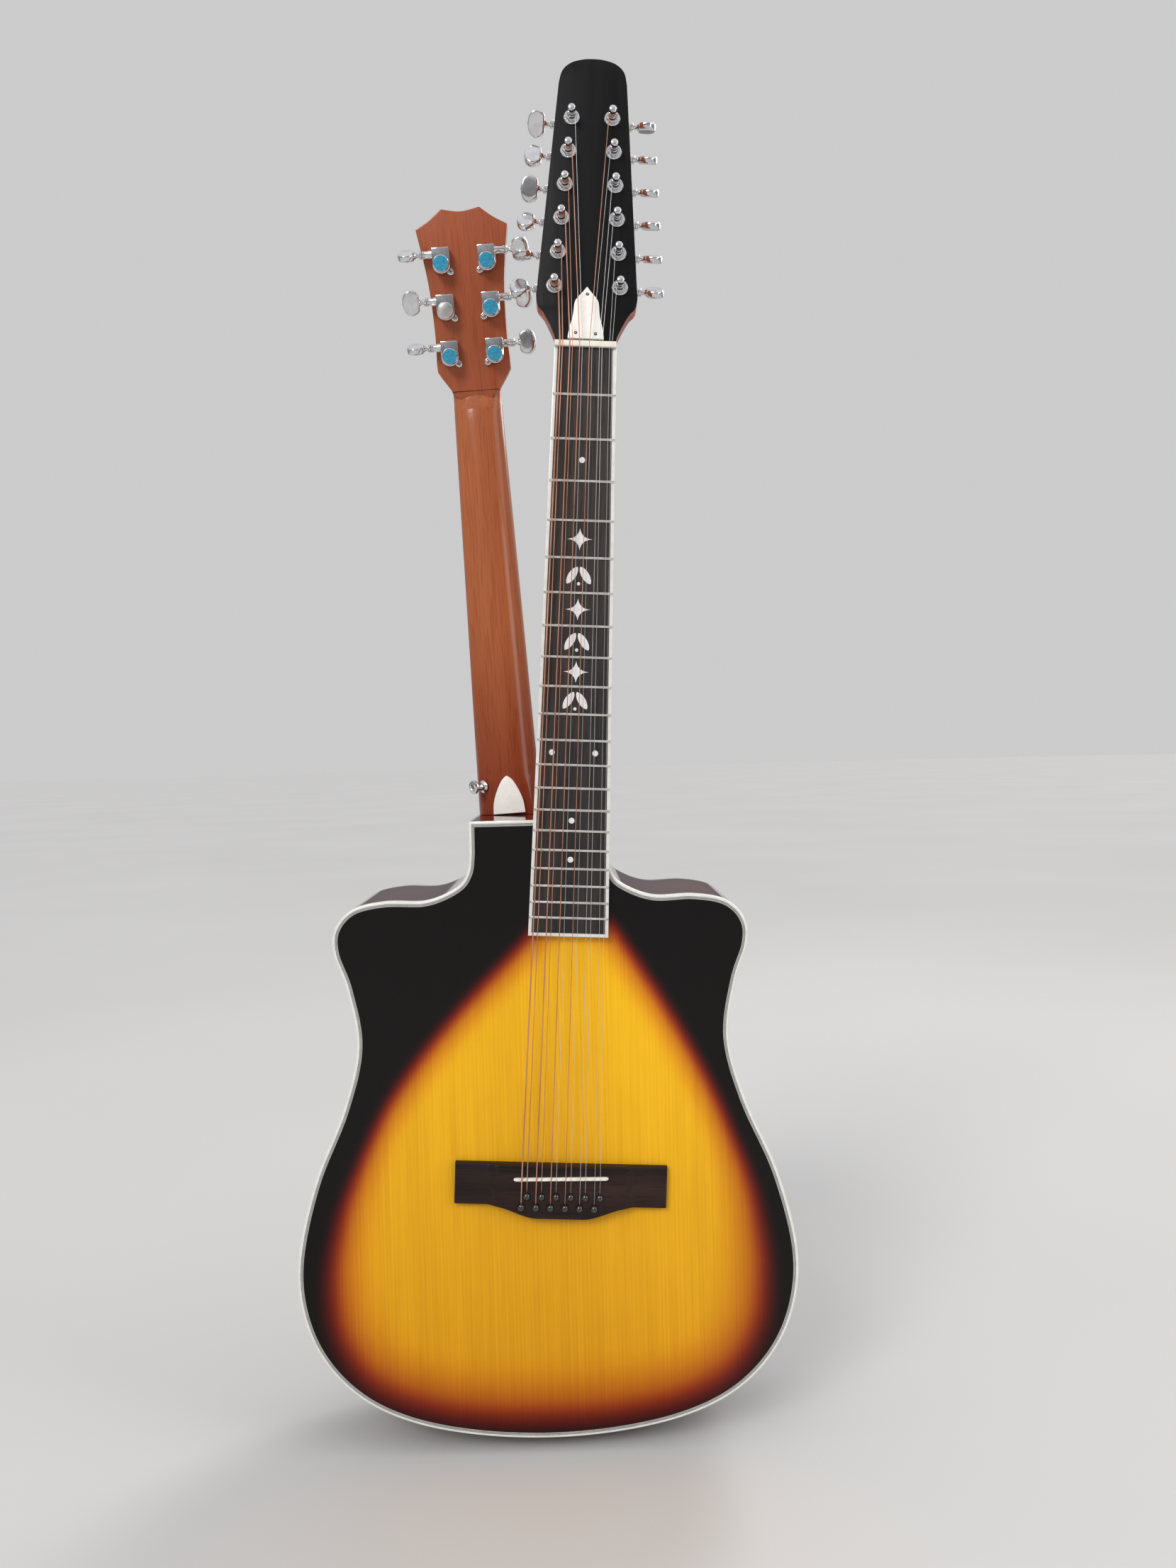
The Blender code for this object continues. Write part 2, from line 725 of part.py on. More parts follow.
def post_turned(profile, sides, seat=None):
    """A shape turned about a post's axis from (radius, height above the face) in millimetres."""
    scaled = [(radius * MM, height * MM) for radius, height in profile]
    stand = Matrix.Rotation(math.pi / 2, 4, "X")
    return turned(scaled, sides, (seat or Matrix.Identity(4)) @ stand)


def shaft_turned(profile, sides, centre):
    """A shape turned about a shaft's axis, which runs outwards, from (radius, reach) in millimetres."""
    scaled = [(radius * MM, reach * MM) for radius, reach in profile]
    lie = Matrix.Rotation(math.pi / 2, 4, "Y")
    return turned(scaled, sides, Matrix.Translation(centre) @ lie)


def housing_shape():
    """Sealed housing on the right side of a head, with its bushing, about the post's axis."""
    back = -(HEAD_THICKNESS + GAP) / MM
    level = -gear_level() / MM
    shaft_line = (0, gear_level(), WORM_OFFSET)
    shape = post_turned([
        (0, 1.8), (6.5, 1.8), (6.5, 0.3), (4.6, 0.3), (4.6, back), (7.8, back), (7.8, back - 11),
        (6.8, back - 12), (0, back - 12)], 8)
    block = box((-7.4 * MM, -back * MM, 0), (7.4 * MM, (11 - back) * MM, 13.2 * MM))
    arm_reach = ARM_END / MM
    arm = shaft_turned([(0, arm_reach), (3.5, arm_reach), (3.5, 6), (0, 6)], 8, shaft_line)
    shape = joined(shape, block, arm)
    post_room = post_turned([
        (0, 6), (3.45, 6), (3.45, level + 1.7), (5.75, level + 1.7), (5.75, level - 1.7),
        (0, level - 1.7)], 8)
    worm_room = shaft_turned([
        (0, 20), (2.3, 20), (2.3, 6.3), (3.25, 6.3), (3.25, -6.3), (0, -6.3)], 8, shaft_line)
    return cut(shape, post_room, worm_room)


def post_shape():
    """String post with the blank of its worm wheel, about the post's axis."""
    level = -gear_level() / MM
    radius = POST_RADIUS / MM
    waist = POST_WAIST / MM
    wheel = WHEEL_RADIUS / MM
    top = POST_HEIGHT / MM
    return post_turned([
        (0, top), (radius, top), (radius, 8.8), (waist, 8.2), (waist, 5), (radius, 4.4),
        (radius, level + 1.2), (wheel, level + 1.2), (wheel, level - 1.2), (0, level - 1.2)], 8)


def button_outline():
    """Half-moon finger button, straight towards the shaft and round outside."""
    half = [(-6.4, 7.2), (-2.5, 9.6), (2, 10.2), (5.6, 7.4), (7.5, 3)]
    upper = [(BUTTON_AT + x * MM, z * MM) for x, z in half]
    lower = [(x, -z) for x, z in reversed(upper)]
    return (upper + lower)[::-1]


def key_shape():
    """Worm blank, shaft, collar and finger button, about the shaft's axis, for the right side."""
    shaft = SHAFT_RADIUS / MM
    worm = WORM_RADIUS / MM
    collar = (ARM_END + GAP) / MM
    body = shaft_turned([
        (0, 24.5), (shaft, 24.5), (shaft, collar + 2), (3.4, collar + 1.8), (3.4, collar), (shaft, collar),
        (shaft, 4.2), (worm, 4.2), (worm, -4.2), (shaft, -4.2), (shaft, -5.9), (0, -5.9)], 6, (0, 0, 0))
    button = plate([button_outline()], -3 * MM, 3 * MM)
    return joined(body, button)


def mesh_of(obj, name):
    """Keep a working object's mesh, in world axes, and drop the object."""
    mesh = obj.data
    mesh.transform(obj.matrix_world)
    mesh.name = name
    bpy.data.objects.remove(obj, do_unlink=True)
    return mesh


def make_key_and_post(spec, place, meshes):
    """One tuner's two moving pieces, turned together by the gear ratio."""
    side_name, side, number, across, along = place
    angle = math.radians(spec["key_angles"][side_name][number - 1])
    seat = head_frame(spec) @ Matrix.Translation((across, 0, along))
    label = f"{side_name}_{number}"
    axis = Matrix.Translation((0, gear_level(), WORM_OFFSET))
    key_place = seat @ axis @ Matrix.Rotation(angle, 4, "X")
    post_place = seat @ Matrix.Rotation(-side * angle / GEAR_RATIO, 4, "Y")
    name = spec["name"]
    place_mesh(f"{name}_key_{label}", meshes["key"][side], key_place, CHROME, smooth=True)
    place_mesh(f"{name}_post_{label}", meshes["post"][side], post_place, CHROME, smooth=True)


def make_tuner_strip(side_name, side, housing):
    """The bouzouki's six housings on one side, joined by the flats of their common plate."""
    places = [place for place in post_places(BOUZOUKI) if place[1] == side]
    back = HEAD_THICKNESS + GAP + 0.2 * MM
    housings = []
    for _, _, _, across, along in places:
        copy = bpy.data.objects.new("housing", housing.copy())
        copy.matrix_world = Matrix.Translation((across, 0, along))
        housings.append(link(copy))
    flats = []
    for _, _, _, across, along in places[:-1]:
        low = (across - 5 * MM, back, along + 12.4 * MM)
        high = (across + 4 * MM, back + 1.6 * MM, along + BOUZOUKI["post_pitch"] - 6.6 * MM)
        flats.append(box(low, high))
    strip = joined(housings[0], *(piece for pair in zip(flats, housings[1:]) for piece in pair))
    strip.matrix_world = head_frame(BOUZOUKI) @ strip.matrix_world
    finish(f"bouzouki_tuner_strip_{side_name}", strip, CHROME, smooth=True)


def make_guitar_housings(housings):
    """The guitar's six separate housings."""
    for side_name, side, number, across, along in post_places(GUITAR):
        seat = head_frame(GUITAR) @ Matrix.Translation((across, 0, along))
        name = f"guitar_tuner_housing_{side_name}_{number}"
        place_mesh(name, housings[side], seat, CHROME, smooth=True)


def make_tuners():
    """Every tuner on both heads."""
    meshes = {}
    shapes = (("housing", housing_shape), ("key", key_shape), ("post", post_shape))
    for kind, build in shapes:
        right = mesh_of(build(), kind)
        meshes[kind] = {1: right, -1: mirrored_mesh(right)}
    make_tuner_strip("left", -1, meshes["housing"][-1])
    make_tuner_strip("right", 1, meshes["housing"][1])
    make_guitar_housings(meshes["housing"])
    for spec in (BOUZOUKI, GUITAR):
        for place in post_places(spec):
            make_key_and_post(spec, place, meshes)


def main():
    """Build the whole instrument."""
    clear_scene()
    outline = body_outline()
    make_sides(outline)
    make_binding(outline)
    make_front_soundboard(outline)
    make_rear_soundboard(outline)
    make_strap_buttons()
    for spec in (BOUZOUKI, GUITAR):
        make_neck(spec)
        make_fingerboard(spec)
        make_bridge(spec)
        make_strings(spec)
    finish("guitar_heel_cap", heel_cap(GUITAR, HEEL_DEPTH + GAP), BONE)
    make_rod_cover()
    make_tuners()


main()
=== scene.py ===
import json
import math

import bmesh
import bpy
from mathutils import Matrix, Vector

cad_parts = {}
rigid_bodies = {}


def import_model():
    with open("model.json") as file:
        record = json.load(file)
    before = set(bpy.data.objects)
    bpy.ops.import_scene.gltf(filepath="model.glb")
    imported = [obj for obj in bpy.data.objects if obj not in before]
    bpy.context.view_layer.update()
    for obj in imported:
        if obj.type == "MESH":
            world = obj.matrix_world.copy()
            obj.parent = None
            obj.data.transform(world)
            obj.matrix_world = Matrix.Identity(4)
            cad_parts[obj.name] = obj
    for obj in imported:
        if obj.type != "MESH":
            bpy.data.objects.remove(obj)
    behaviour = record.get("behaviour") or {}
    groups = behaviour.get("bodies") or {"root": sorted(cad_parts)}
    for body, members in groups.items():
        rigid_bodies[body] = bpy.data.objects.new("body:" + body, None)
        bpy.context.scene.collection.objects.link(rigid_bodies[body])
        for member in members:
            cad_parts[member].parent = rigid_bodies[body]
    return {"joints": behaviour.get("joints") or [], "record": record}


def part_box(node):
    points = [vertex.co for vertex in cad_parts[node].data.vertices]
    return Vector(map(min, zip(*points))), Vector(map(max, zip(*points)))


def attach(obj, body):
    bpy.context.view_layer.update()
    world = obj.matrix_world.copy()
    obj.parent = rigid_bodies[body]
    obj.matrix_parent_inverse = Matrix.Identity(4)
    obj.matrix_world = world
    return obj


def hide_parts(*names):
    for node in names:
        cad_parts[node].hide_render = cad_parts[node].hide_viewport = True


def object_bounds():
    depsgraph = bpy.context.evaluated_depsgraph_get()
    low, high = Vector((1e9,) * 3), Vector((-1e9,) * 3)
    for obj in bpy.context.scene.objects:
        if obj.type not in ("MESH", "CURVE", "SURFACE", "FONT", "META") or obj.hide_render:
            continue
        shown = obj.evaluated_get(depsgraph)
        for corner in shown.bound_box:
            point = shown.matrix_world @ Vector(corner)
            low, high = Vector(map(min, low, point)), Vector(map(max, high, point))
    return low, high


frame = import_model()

CAD_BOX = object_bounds()
MM = 0.001
BODY = "instrument"
JOINTS = {joint["name"]: joint for joint in frame["joints"]}

# --- dimensions, in metres

BODY_DEPTH = 120 * MM
TOWER_HALF = 54.5 * MM
BODY_LENGTH = 495 * MM
BINDING = 2.2 * MM
BINDING_DROP = 6.5 * MM
TOP = 3 * MM
SCALE = 650 * MM
NUT_AT = 863.5 * MM
SADDLE_AT = NUT_AT - SCALE
FRETS = 20
BOARD_END = 403.5 * MM
BOARD_TOP = 6.8 * MM
BOARD_EDGE = 2.7 * MM
FRET_HEIGHT = 1.1 * MM
NUT_TOP = 9.6 * MM
BRIDGE_TOP = 9.3 * MM
SADDLE_TOP = 12 * MM
HEAD_THICK = 14.5 * MM
LIP_END = 31 * MM
POST_WAIST = 2.42 * MM
WINDING_TOP = 7.7 * MM
GEAR_LEVEL = 20.5 * MM
WORM_OFFSET = 8.3 * MM
GEAR_RATIO = 14
BUTTON_AT = 28.5
HOLE_AT = 353 * MM
HOLE_RADIUS = 50 * MM
HOLE_SIDES = 96
HEEL_DEPTH = 22.2 * MM
PROUD = 0.04 * MM
MESH_STEP = 6 * MM

# Half of the body's outline, from the tail up the right side to the foot of the tower's corner.
HALF_OUTLINE = [
    (0, 0), (60, 4.2), (112, 16), (152, 36.5), (181.5, 68.5), (197, 108), (198.5, 152), (184, 211),
    (160, 268), (147.6, 318), (154, 363), (163.9, 393), (162.5, 413), (148, 428), (122, 433.5),
    (90, 433.4), (66, 443), (57, 454.5), (54.7, 470),
]

# Edge of the sunburst's amber field, as (X, Z): right side upwards, then down the left side.
BURST_FRONT = [
    (0, 24), (48, 26), (98, 35), (138, 54), (161, 88), (167, 130), (164, 168), (156, 208), (133, 270),
    (101, 332), (62, 395), (46, 414), (24, 421), (4, 412), (-12, 395), (-73, 332), (-121, 270),
    (-150, 208), (-162, 168), (-167, 130), (-161, 88), (-138, 54), (-98, 35), (-48, 26),
]

BOUZOUKI = {
    "name": "bouzouki", "side": "front", "face": 1, "nut_half": 24.1 * MM, "body_half": 30.1 * MM,
    "head": [(24, 5.8), (25.2, 13), (33, 29), (38.2, 35.5), (39.9, 43), (39.4, 52), (27.6, 225),
             (25, 236), (18, 243), (8, 246.2), (0, 246.8)],
    "corners": {0, 5, 6},
    "lip": [(0, -2.2), (9, -0.6), (17, 4), (22.5, 11), (26.5, 19), (30.5, 26)],
    "neck_slot": "black_head_mahogany_neck", "cap_sunk": 2.2, "cap_nodes": [],
    "steps": 6, "first_post": 52 * MM, "pitch": 28.6 * MM, "post_half": 25.8 * MM, "taper": 1.9 * MM,
    "nut_x": [-19.9, -17.8, -12.2, -10.1, -4.6, -2.4, 3.0, 5.1, 10.8, 12.9, 18.6, 20.7],
    "gauges": [1.14, 0.70, 0.95, 0.52, 0.76, 0.36, 0.58, 0.30, 0.38, 0.38, 0.28, 0.28],
    "wound": {0, 1, 2, 3, 4, 6},
    "course": 11.5, "stagger": 2.1, "rows": (197.9, 189.2), "bridge_half": 84, "saddle_half": 37.2,
    "angles": {"right": [129, 122, 119, 123, 124, 114], "left": [-29, 114, -28, 17, -16, 42]},
}
GUITAR = {
    "name": "guitar", "side": "rear", "face": -1, "nut_half": 21.0 * MM, "body_half": 27.6 * MM,
    "head": [(20.8, 5.8), (22, 9), (30, 21), (31.8, 28), (30.9, 56), (32.7, 97), (39, 139),
             (27.5, 145.4), (16.3, 153.8), (5, 151.6), (0, 151.2)],
    "corners": {0, 6, 8},
    "lip": [(0, -5.0), (8, -3.9), (14, -0.6), (18, 3.6), (22.5, 10), (30, 21.5)],
    "neck_slot": "mahogany_neck", "cap_sunk": 1.4, "cap_nodes": ["guitar_heel_cap"],
    "steps": 3, "first_post": 34.6 * MM, "pitch": 37.3 * MM, "post_half": 19.3 * MM, "taper": 0,
    "nut_x": [-17.5, -10.5, -3.5, 3.5, 10.5, 17.5],
    "gauges": [1.30, 1.04, 0.80, 0.60, 0.42, 0.32],
    "wound": {0, 1, 2, 3},
    "course": 10.8, "stagger": 0, "rows": (197.9,), "bridge_half": 78, "saddle_half": 36,
    "angles": {"right": [70, -12, 66], "left": [3, -27, -30]},
}

# --- frames, read from the record and boxes


def frame_of(x, y, origin):
    """A frame with the given X and Y directions."""
    matrix = Matrix((x, y, x.cross(y))).transposed().to_4x4()
    matrix.translation = origin
    return matrix


def face_origin(spec):
    """Where both neck axes meet at the tail of one soundboard's face."""
    low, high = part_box(spec["side"] + "_soundboard")
    return Vector((0, low.y if spec["face"] > 0 else high.y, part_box("body_sides")[0].z))


def across_axis(spec):
    """The direction across a neck, from the axis of a tuner key."""
    return Vector(JOINTS[spec["name"] + "_key_right_1_turn"]["axis"]).normalized()


def face_frame(spec):
    return frame_of(Vector((spec["face"], 0, 0)), Vector((0, spec["face"], 0)), face_origin(spec))


def neck_frame(spec):
    return frame_of(across_axis(spec), Vector((0, spec["face"], 0)), face_origin(spec))


def head_frame(spec):
    """X across the head, Y behind its face, Z along it from the nut."""
    post = JOINTS[spec["name"] + "_post_right_1_turn"]
    x = across_axis(spec)
    y = -Vector(post["axis"]).normalized()
    z = x.cross(y)
    return frame_of(x, y, Vector(post["pos_m"]) - x * spec["post_half"] - z * spec["first_post"])


def lean_of(spec):
    """The splay of a neck in its own face's axes, as a slope."""
    z = face_frame(spec).to_3x3().transposed() @ neck_frame(spec).to_3x3().col[2]
    return z.x / z.z


def half_width(spec, along):
    """Half the fingerboard's width at a distance from the tail."""
    body_at = BODY_LENGTH * math.hypot(1, lean_of(spec))
    slope = (spec["body_half"] - spec["nut_half"]) / (NUT_AT - body_at)
    return spec["nut_half"] + slope * (NUT_AT - along)


def fret_at(number):
    return SADDLE_AT + SCALE * 2 ** (-number / 12)


def post_places(spec):
    """(side name, side sign, number, X, Z) of every string post."""
    return [(side_name, side, step + 1, side * (spec["post_half"] - step * spec["taper"]),
             spec["first_post"] + step * spec["pitch"])
            for side_name, side in (("left", -1), ("right", 1)) for step in range(spec["steps"])]


def hole_centre():
    lean = math.atan(lean_of(GUITAR))
    return HOLE_AT * math.sin(lean), HOLE_AT * math.cos(lean)

# --- outlines


def smoothed(points, steps, closed=False, corners=()):
    """A Catmull-Rom curve through points; it turns sharply at the numbered corners."""
    count = len(points)
    spans = count if closed else count - 1
    path = []
    for i in range(spans):
        b, c = points[i], points[(i + 1) % count]
        a = points[i - 1] if (closed or i > 0) and i not in corners else b
        last = not closed and i + 2 >= count
        d = c if last or (i + 1) % count in corners else points[(i + 2) % count]
        for step in range(steps):
            t = step / steps
            path.append(tuple(
                0.5 * (2 * q + (r - p) * t + (2 * p - 5 * q + 4 * r - s) * t * t
                       + (3 * q - p - 3 * r + s) * t ** 3)
                for p, q, r, s in zip(a, b, c, d)))
    if not closed:
        path.append(tuple(points[-1]))
    return path


def body_outline():
    """The body's closed outline, counter-clockwise from the tail, level where it crosses the axis."""
    mirrored_start = [(-HALF_OUTLINE[1][0], HALF_OUTLINE[1][1])] + HALF_OUTLINE
    half = smoothed(mirrored_start, 9)[9:]
    half = [(x * MM, z * MM) for x, z in half] + [(TOWER_HALF, BODY_LENGTH)]
    return half + [(-x, z) for x, z in reversed(half[1:])]


def inset(loop, distance):
    """A closed counter-clockwise outline moved inwards."""
    moved = []
    for i in range(len(loop)):
        here = Vector(loop[i])
        back = (here - Vector(loop[i - 1])).normalized()
        ahead = (Vector(loop[(i + 1) % len(loop)]) - here).normalized()
        a, b = Vector((-back.y, back.x)), Vector((-ahead.y, ahead.x))
        moved.append(tuple(here + (a + b) / (1 + a.dot(b)) * distance))
    return moved


def both_sides(half):
    """A closed outline from its right half, in millimetres, from bottom to top."""
    right = [(x * MM, z * MM) for x, z in half]
    return right + [(-x, z) for x, z in reversed(right) if x > 1e-9]


def circle(x, z, radius, sides):
    return [(x + radius * math.cos(math.tau * i / sides), z + radius * math.sin(math.tau * i / sides))
            for i in range(sides)]

# --- meshes


def bridge_rings(work, rows, closed=False, material=0):
    """Faces between rows of vertices; a row of one vertex is a point where they meet."""
    for row, after in list(zip(rows, rows[1:])) + [(rows[-1], rows[0])] * closed:
        count = max(len(row), len(after))
        for i in range(count):
            j = (i + 1) % count
            corners = dict.fromkeys((row[i % len(row)], row[j % len(row)],
                                     after[j % len(after)], after[i % len(after)]))
            if len(corners) > 2:
                work.faces.new(tuple(corners)).material_index = material


def add_rings(work, rings, material=0):
    """A closed loft through rings of points."""
    rows = [[work.verts.new(point) for point in ring] for ring in rings]
    bridge_rings(work, rows, material=material)
    work.faces.new(rows[0]).material_index = material
    work.faces.new(rows[-1]).material_index = material


def add_lathe(work, profile, sides, matrix=Matrix.Identity(4), material=0):
    """A turned shape about local Z from (radius, height) in millimetres."""
    rows = []
    for radius, height in profile:
        angles = [math.tau * i / sides for i in range(sides if radius > 1e-6 else 1)]
        rows.append([work.verts.new(matrix @ Vector((
            radius * MM * math.cos(a), radius * MM * math.sin(a), height * MM))) for a in angles])
    bridge_rings(work, rows, material=material)


def add_plate(work, loop, y_low, y_high, bevel=0.0):
    """An outline in X and Z given thickness along Y, with its rims rounded off by a small step."""
    rings = [(loop, y_low), (loop, y_high)]
    if bevel:
        inner, mid = inset(loop, bevel), inset(loop, bevel * 0.3)
        rings = [(inner, y_low), (mid, y_low + bevel * 0.3), (loop, y_low + bevel),
                 (loop, y_high - bevel), (mid, y_high - bevel * 0.3), (inner, y_high)]
    add_rings(work, [[(x, y, z) for x, z in ring] for ring, y in rings])


def add_sweep(work, outline, section, material=0):
    """A closed frame round an outline, from (inset, depth) points round its section."""
    rows = [[work.verts.new((x, depth, z)) for x, z in inset(outline, distance)]
            for distance, depth in section]
    bridge_rings(work, rows, True, material)


def add_tube(work, points, radius, sides):
    """A round tube along points, with its frame carried along so that it doesn't twist."""
    normal = None
    rings = []
    turns = [(math.cos(math.tau * k / sides), math.sin(math.tau * k / sides)) for k in range(sides)]
    for i, point in enumerate(points):
        ahead = (points[min(i + 1, len(points) - 1)] - points[max(i - 1, 0)]).normalized()
        normal = normal or ahead.orthogonal().normalized()
        normal = (normal - ahead * normal.dot(ahead)).normalized()
        other = ahead.cross(normal)
        rings.append([point + (normal * cos + other * sin) * radius for cos, sin in turns])
    add_rings(work, rings)


def piece(name, work, matrix, looks, body=BODY, replaces=(), sharp=35):
    """Turn a bmesh into a shaded piece that rides on a body; looks names its materials."""
    bmesh.ops.recalc_face_normals(work, faces=work.faces)
    mesh = bpy.data.meshes.new(name)
    work.to_mesh(mesh)
    work.free()
    mesh.shade_smooth()
    mesh.set_sharp_from_angle(angle=math.radians(sharp))
    for look in looks.split():
        mesh.materials.append(M[look])
    obj = bpy.data.objects.new(name, mesh)
    obj.matrix_world = matrix
    bpy.context.scene.collection.objects.link(obj)
    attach(obj, body)
    if replaces:
        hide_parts(*replaces)
    return obj

# --- materials

WHITE = (1, 1, 1)
HEEL_SHADE = (0.50, 0.66, (0.50, 0.24, 0.20))
NECK_TONES = ((0.46, 0.142, 0.050), (0.36, 0.100, 0.036))
LACQUER = {"Coat_Weight": 1.0, "Coat_IOR": 1.30, "Specular_IOR_Level": 0.0}


class Look:
    """A Principled material built up from procedural nodes in object coordinates."""

    def __init__(self, name, **sockets):
        self.material = bpy.data.materials.new(name)
        self.material.use_nodes = True
        self.tree = self.material.node_tree
        self.shader = self.tree.nodes["Principled BSDF"]
        for socket, value in sockets.items():
            self.shader.inputs[socket.replace("_", " ")].default_value = value
        self.normal = None

    def node(self, kind, inputs=(), **settings):
        node = self.tree.nodes.new("ShaderNode" + kind)
        for key, value in settings.items():
            setattr(node, key, value)
        for key, value in dict(inputs).items():
            if isinstance(value, bpy.types.NodeSocket):
                self.tree.links.new(value, node.inputs[key])
            else:
                node.inputs[key].default_value = value
        return node

    def place(self, stretch=WHITE):
        """Object coordinates, stretched along each axis."""
        where = self.node("TexCoord").outputs["Object"]
        return self.node("Mapping", {"Vector": where, "Scale": stretch}).outputs["Vector"]

    def noise(self, scale, stretch=WHITE, detail=4.0, rough=0.55, warp=0.0):
        return self.node("TexNoise", {"Vector": self.place(stretch), "Scale": scale, "Detail": detail,
                                      "Roughness": rough, "Distortion": warp}).outputs["Fac"]

    def wave(self, scale, direction, stretch, warp=0.0, detail=2.0):
        return self.node("TexWave", {"Vector": self.place(stretch), "Scale": scale, "Distortion": warp,
                                     "Detail": detail, "Detail Scale": 1.2},
                         bands_direction=direction).outputs["Fac"]

    def ramp(self, value, *stops, ease="LINEAR"):
        node = self.node("ValToRGB", {"Fac": value})
        ramp = node.color_ramp
        ramp.interpolation = ease
        while len(ramp.elements) < len(stops):
            ramp.elements.new(0.5)
        for element, (at, colour) in zip(ramp.elements, stops):
            element.position = at
            element.color = (*colour, 1)
        return node.outputs["Color"]

    def span(self, value, low, high, to_low, to_high):
        return self.node("MapRange", {"Value": value, "From Min": low, "From Max": high,
                                      "To Min": to_low, "To Max": to_high}).outputs["Result"]

    def mix(self, amount, a, b, blend="MIX"):
        values = {0: amount, 6: a, 7: b}
        inputs = {k: (*v, 1) if isinstance(v, tuple) else v for k, v in values.items()}
        return self.node("Mix", inputs, data_type="RGBA", blend_type=blend).outputs[2]

    def tint(self, amount, shade, value, *stops):
        """A shade multiplied by a ramp over a value."""
        return self.mix(amount, shade, self.ramp(value, *stops), "MULTIPLY")

    def darken(self, shade, low, high, colour):
        """A shade multiplied by a colour that fades out from low to high Z."""
        z = self.node("SeparateXYZ", {"Vector": self.place()}).outputs["Z"]
        return self.mix(1.0, shade, self.mix(self.span(z, low, high, 1, 0), WHITE, colour), "MULTIPLY")

    def colour(self, socket):
        self.tree.links.new(socket, self.shader.inputs["Base Color"])
        return self

    def rough(self, value, low, high):
        self.tree.links.new(self.span(value, 0.3, 0.7, low, high), self.shader.inputs["Roughness"])
        return self

    def bump(self, height, depth, strength):
        """Depth is the relief in metres; each relief lies on the one before."""
        node = self.node("Bump", {"Height": height, "Distance": depth, "Strength": strength})
        if self.normal is not None:
            self.tree.links.new(self.normal, node.inputs["Normal"])
        self.normal = node.outputs["Normal"]
        self.tree.links.new(self.normal, self.shader.inputs["Normal"])
        return self

    def finish(self, shade, marks, low, high, depth, strength):
        """Colour, with roughness and relief from the same marks."""
        return self.colour(shade).rough(marks, low, high).bump(marks, depth, strength).material


def spruce_top(name):
    """Glossy spruce with a sunburst, whose field is the mesh's own burst attribute."""
    look = Look(name, Coat_Roughness=0.045, **LACQUER)
    lines = look.wave(105, "X", (1, 1, 0.03), warp=2.2, detail=3)
    fine = look.noise(520, (1, 0.05, 0.012), detail=3)
    broad = look.noise(16, (1, 0.2, 0.05), detail=3)
    silk = look.noise(70, (0.9, 1, 0.35), detail=5)
    shade = look.ramp(
        look.node("Attribute", attribute_name="burst").outputs["Fac"],
        (0.0, (0.97, 0.550, 0.010)), (0.20, (0.92, 0.450, 0.009)), (0.36, (0.78, 0.320, 0.008)),
        (0.50, (0.64, 0.200, 0.007)), (0.62, (0.38, 0.045, 0.008)), (0.74, (0.110, 0.006, 0.004)),
        (0.86, (0.006, 0.0030, 0.0028)), (1.0, (0.0030, 0.0027, 0.0027)), ease="B_SPLINE")
    shade = look.darken(shade, 0.05, 0.34, (0.76, 0.63, 0.60))
    shade = look.tint(0.16, shade, lines, (0.0, (0.74, 0.62, 0.45)), (0.55, WHITE))
    shade = look.tint(0.42, shade, broad, (0.34, (0.74, 0.66, 0.50)), (0.62, WHITE))
    shade = look.tint(0.30, shade, fine, (0.38, (0.75, 0.66, 0.5)), (0.6, WHITE))
    shade = look.tint(0.14, shade, silk, (0.35, (0.80, 0.76, 0.66)), (0.65, WHITE))
    look.colour(shade).rough(silk, 0.22, 0.36)
    return look.bump(lines, 0.00002, 0.35).bump(look.noise(9, detail=2), 0.00022, 0.22).material


def mahogany(name, light, dark, shaded=None, gloss=0.28):
    """Satin open-pored wood with its grain along Z; it can darken towards low Z."""
    look = Look(name, Coat_Weight=0.4, Coat_Roughness=0.10, Coat_IOR=1.40, Specular_IOR_Level=0.15)
    bands = look.noise(34, (1, 1, 0.05), warp=0.6)
    pores = look.noise(900, (1, 1, 0.03), detail=2, rough=0.6)
    ribbon = look.noise(11, (1, 1, 0.30), detail=3, warp=1.2)
    shade = look.ramp(bands, (0.30, dark), (0.70, light))
    shade = look.tint(0.35, shade, ribbon, (0.35, (0.84, 0.79, 0.74)), (0.66, (1.04, 1.02, 1.0)))
    shade = look.tint(0.35, shade, pores, (0.37, (0.50, 0.42, 0.38)), (0.47, WHITE))
    if shaded:
        shade = look.darken(shade, *shaded)
    return look.finish(shade, pores, gloss - 0.05, gloss + 0.14, 0.00004, 0.30)


def rib_wood():
    """Glossy dark red-brown rosewood, grained along the ribs, so it varies across their height."""
    look = Look("rib_rosewood", Coat_Roughness=0.05, **LACQUER)
    bands = look.noise(26, (0.10, 2.2, 0.10), detail=5, warp=0.9)
    fine = look.noise(210, (0.05, 2.0, 0.05), detail=3)
    shade = look.ramp(bands, (0.28, (0.034, 0.006, 0.004)), (0.50, (0.085, 0.014, 0.009)),
                      (0.72, (0.150, 0.030, 0.016)))
    shade = look.tint(0.5, shade, fine, (0.36, (0.45, 0.36, 0.33)), (0.60, WHITE))
    look.finish(shade, fine, 0.2, 0.34, 0.00002, 0.25)
    return look.bump(look.noise(8, detail=2), 0.0003, 0.2).material


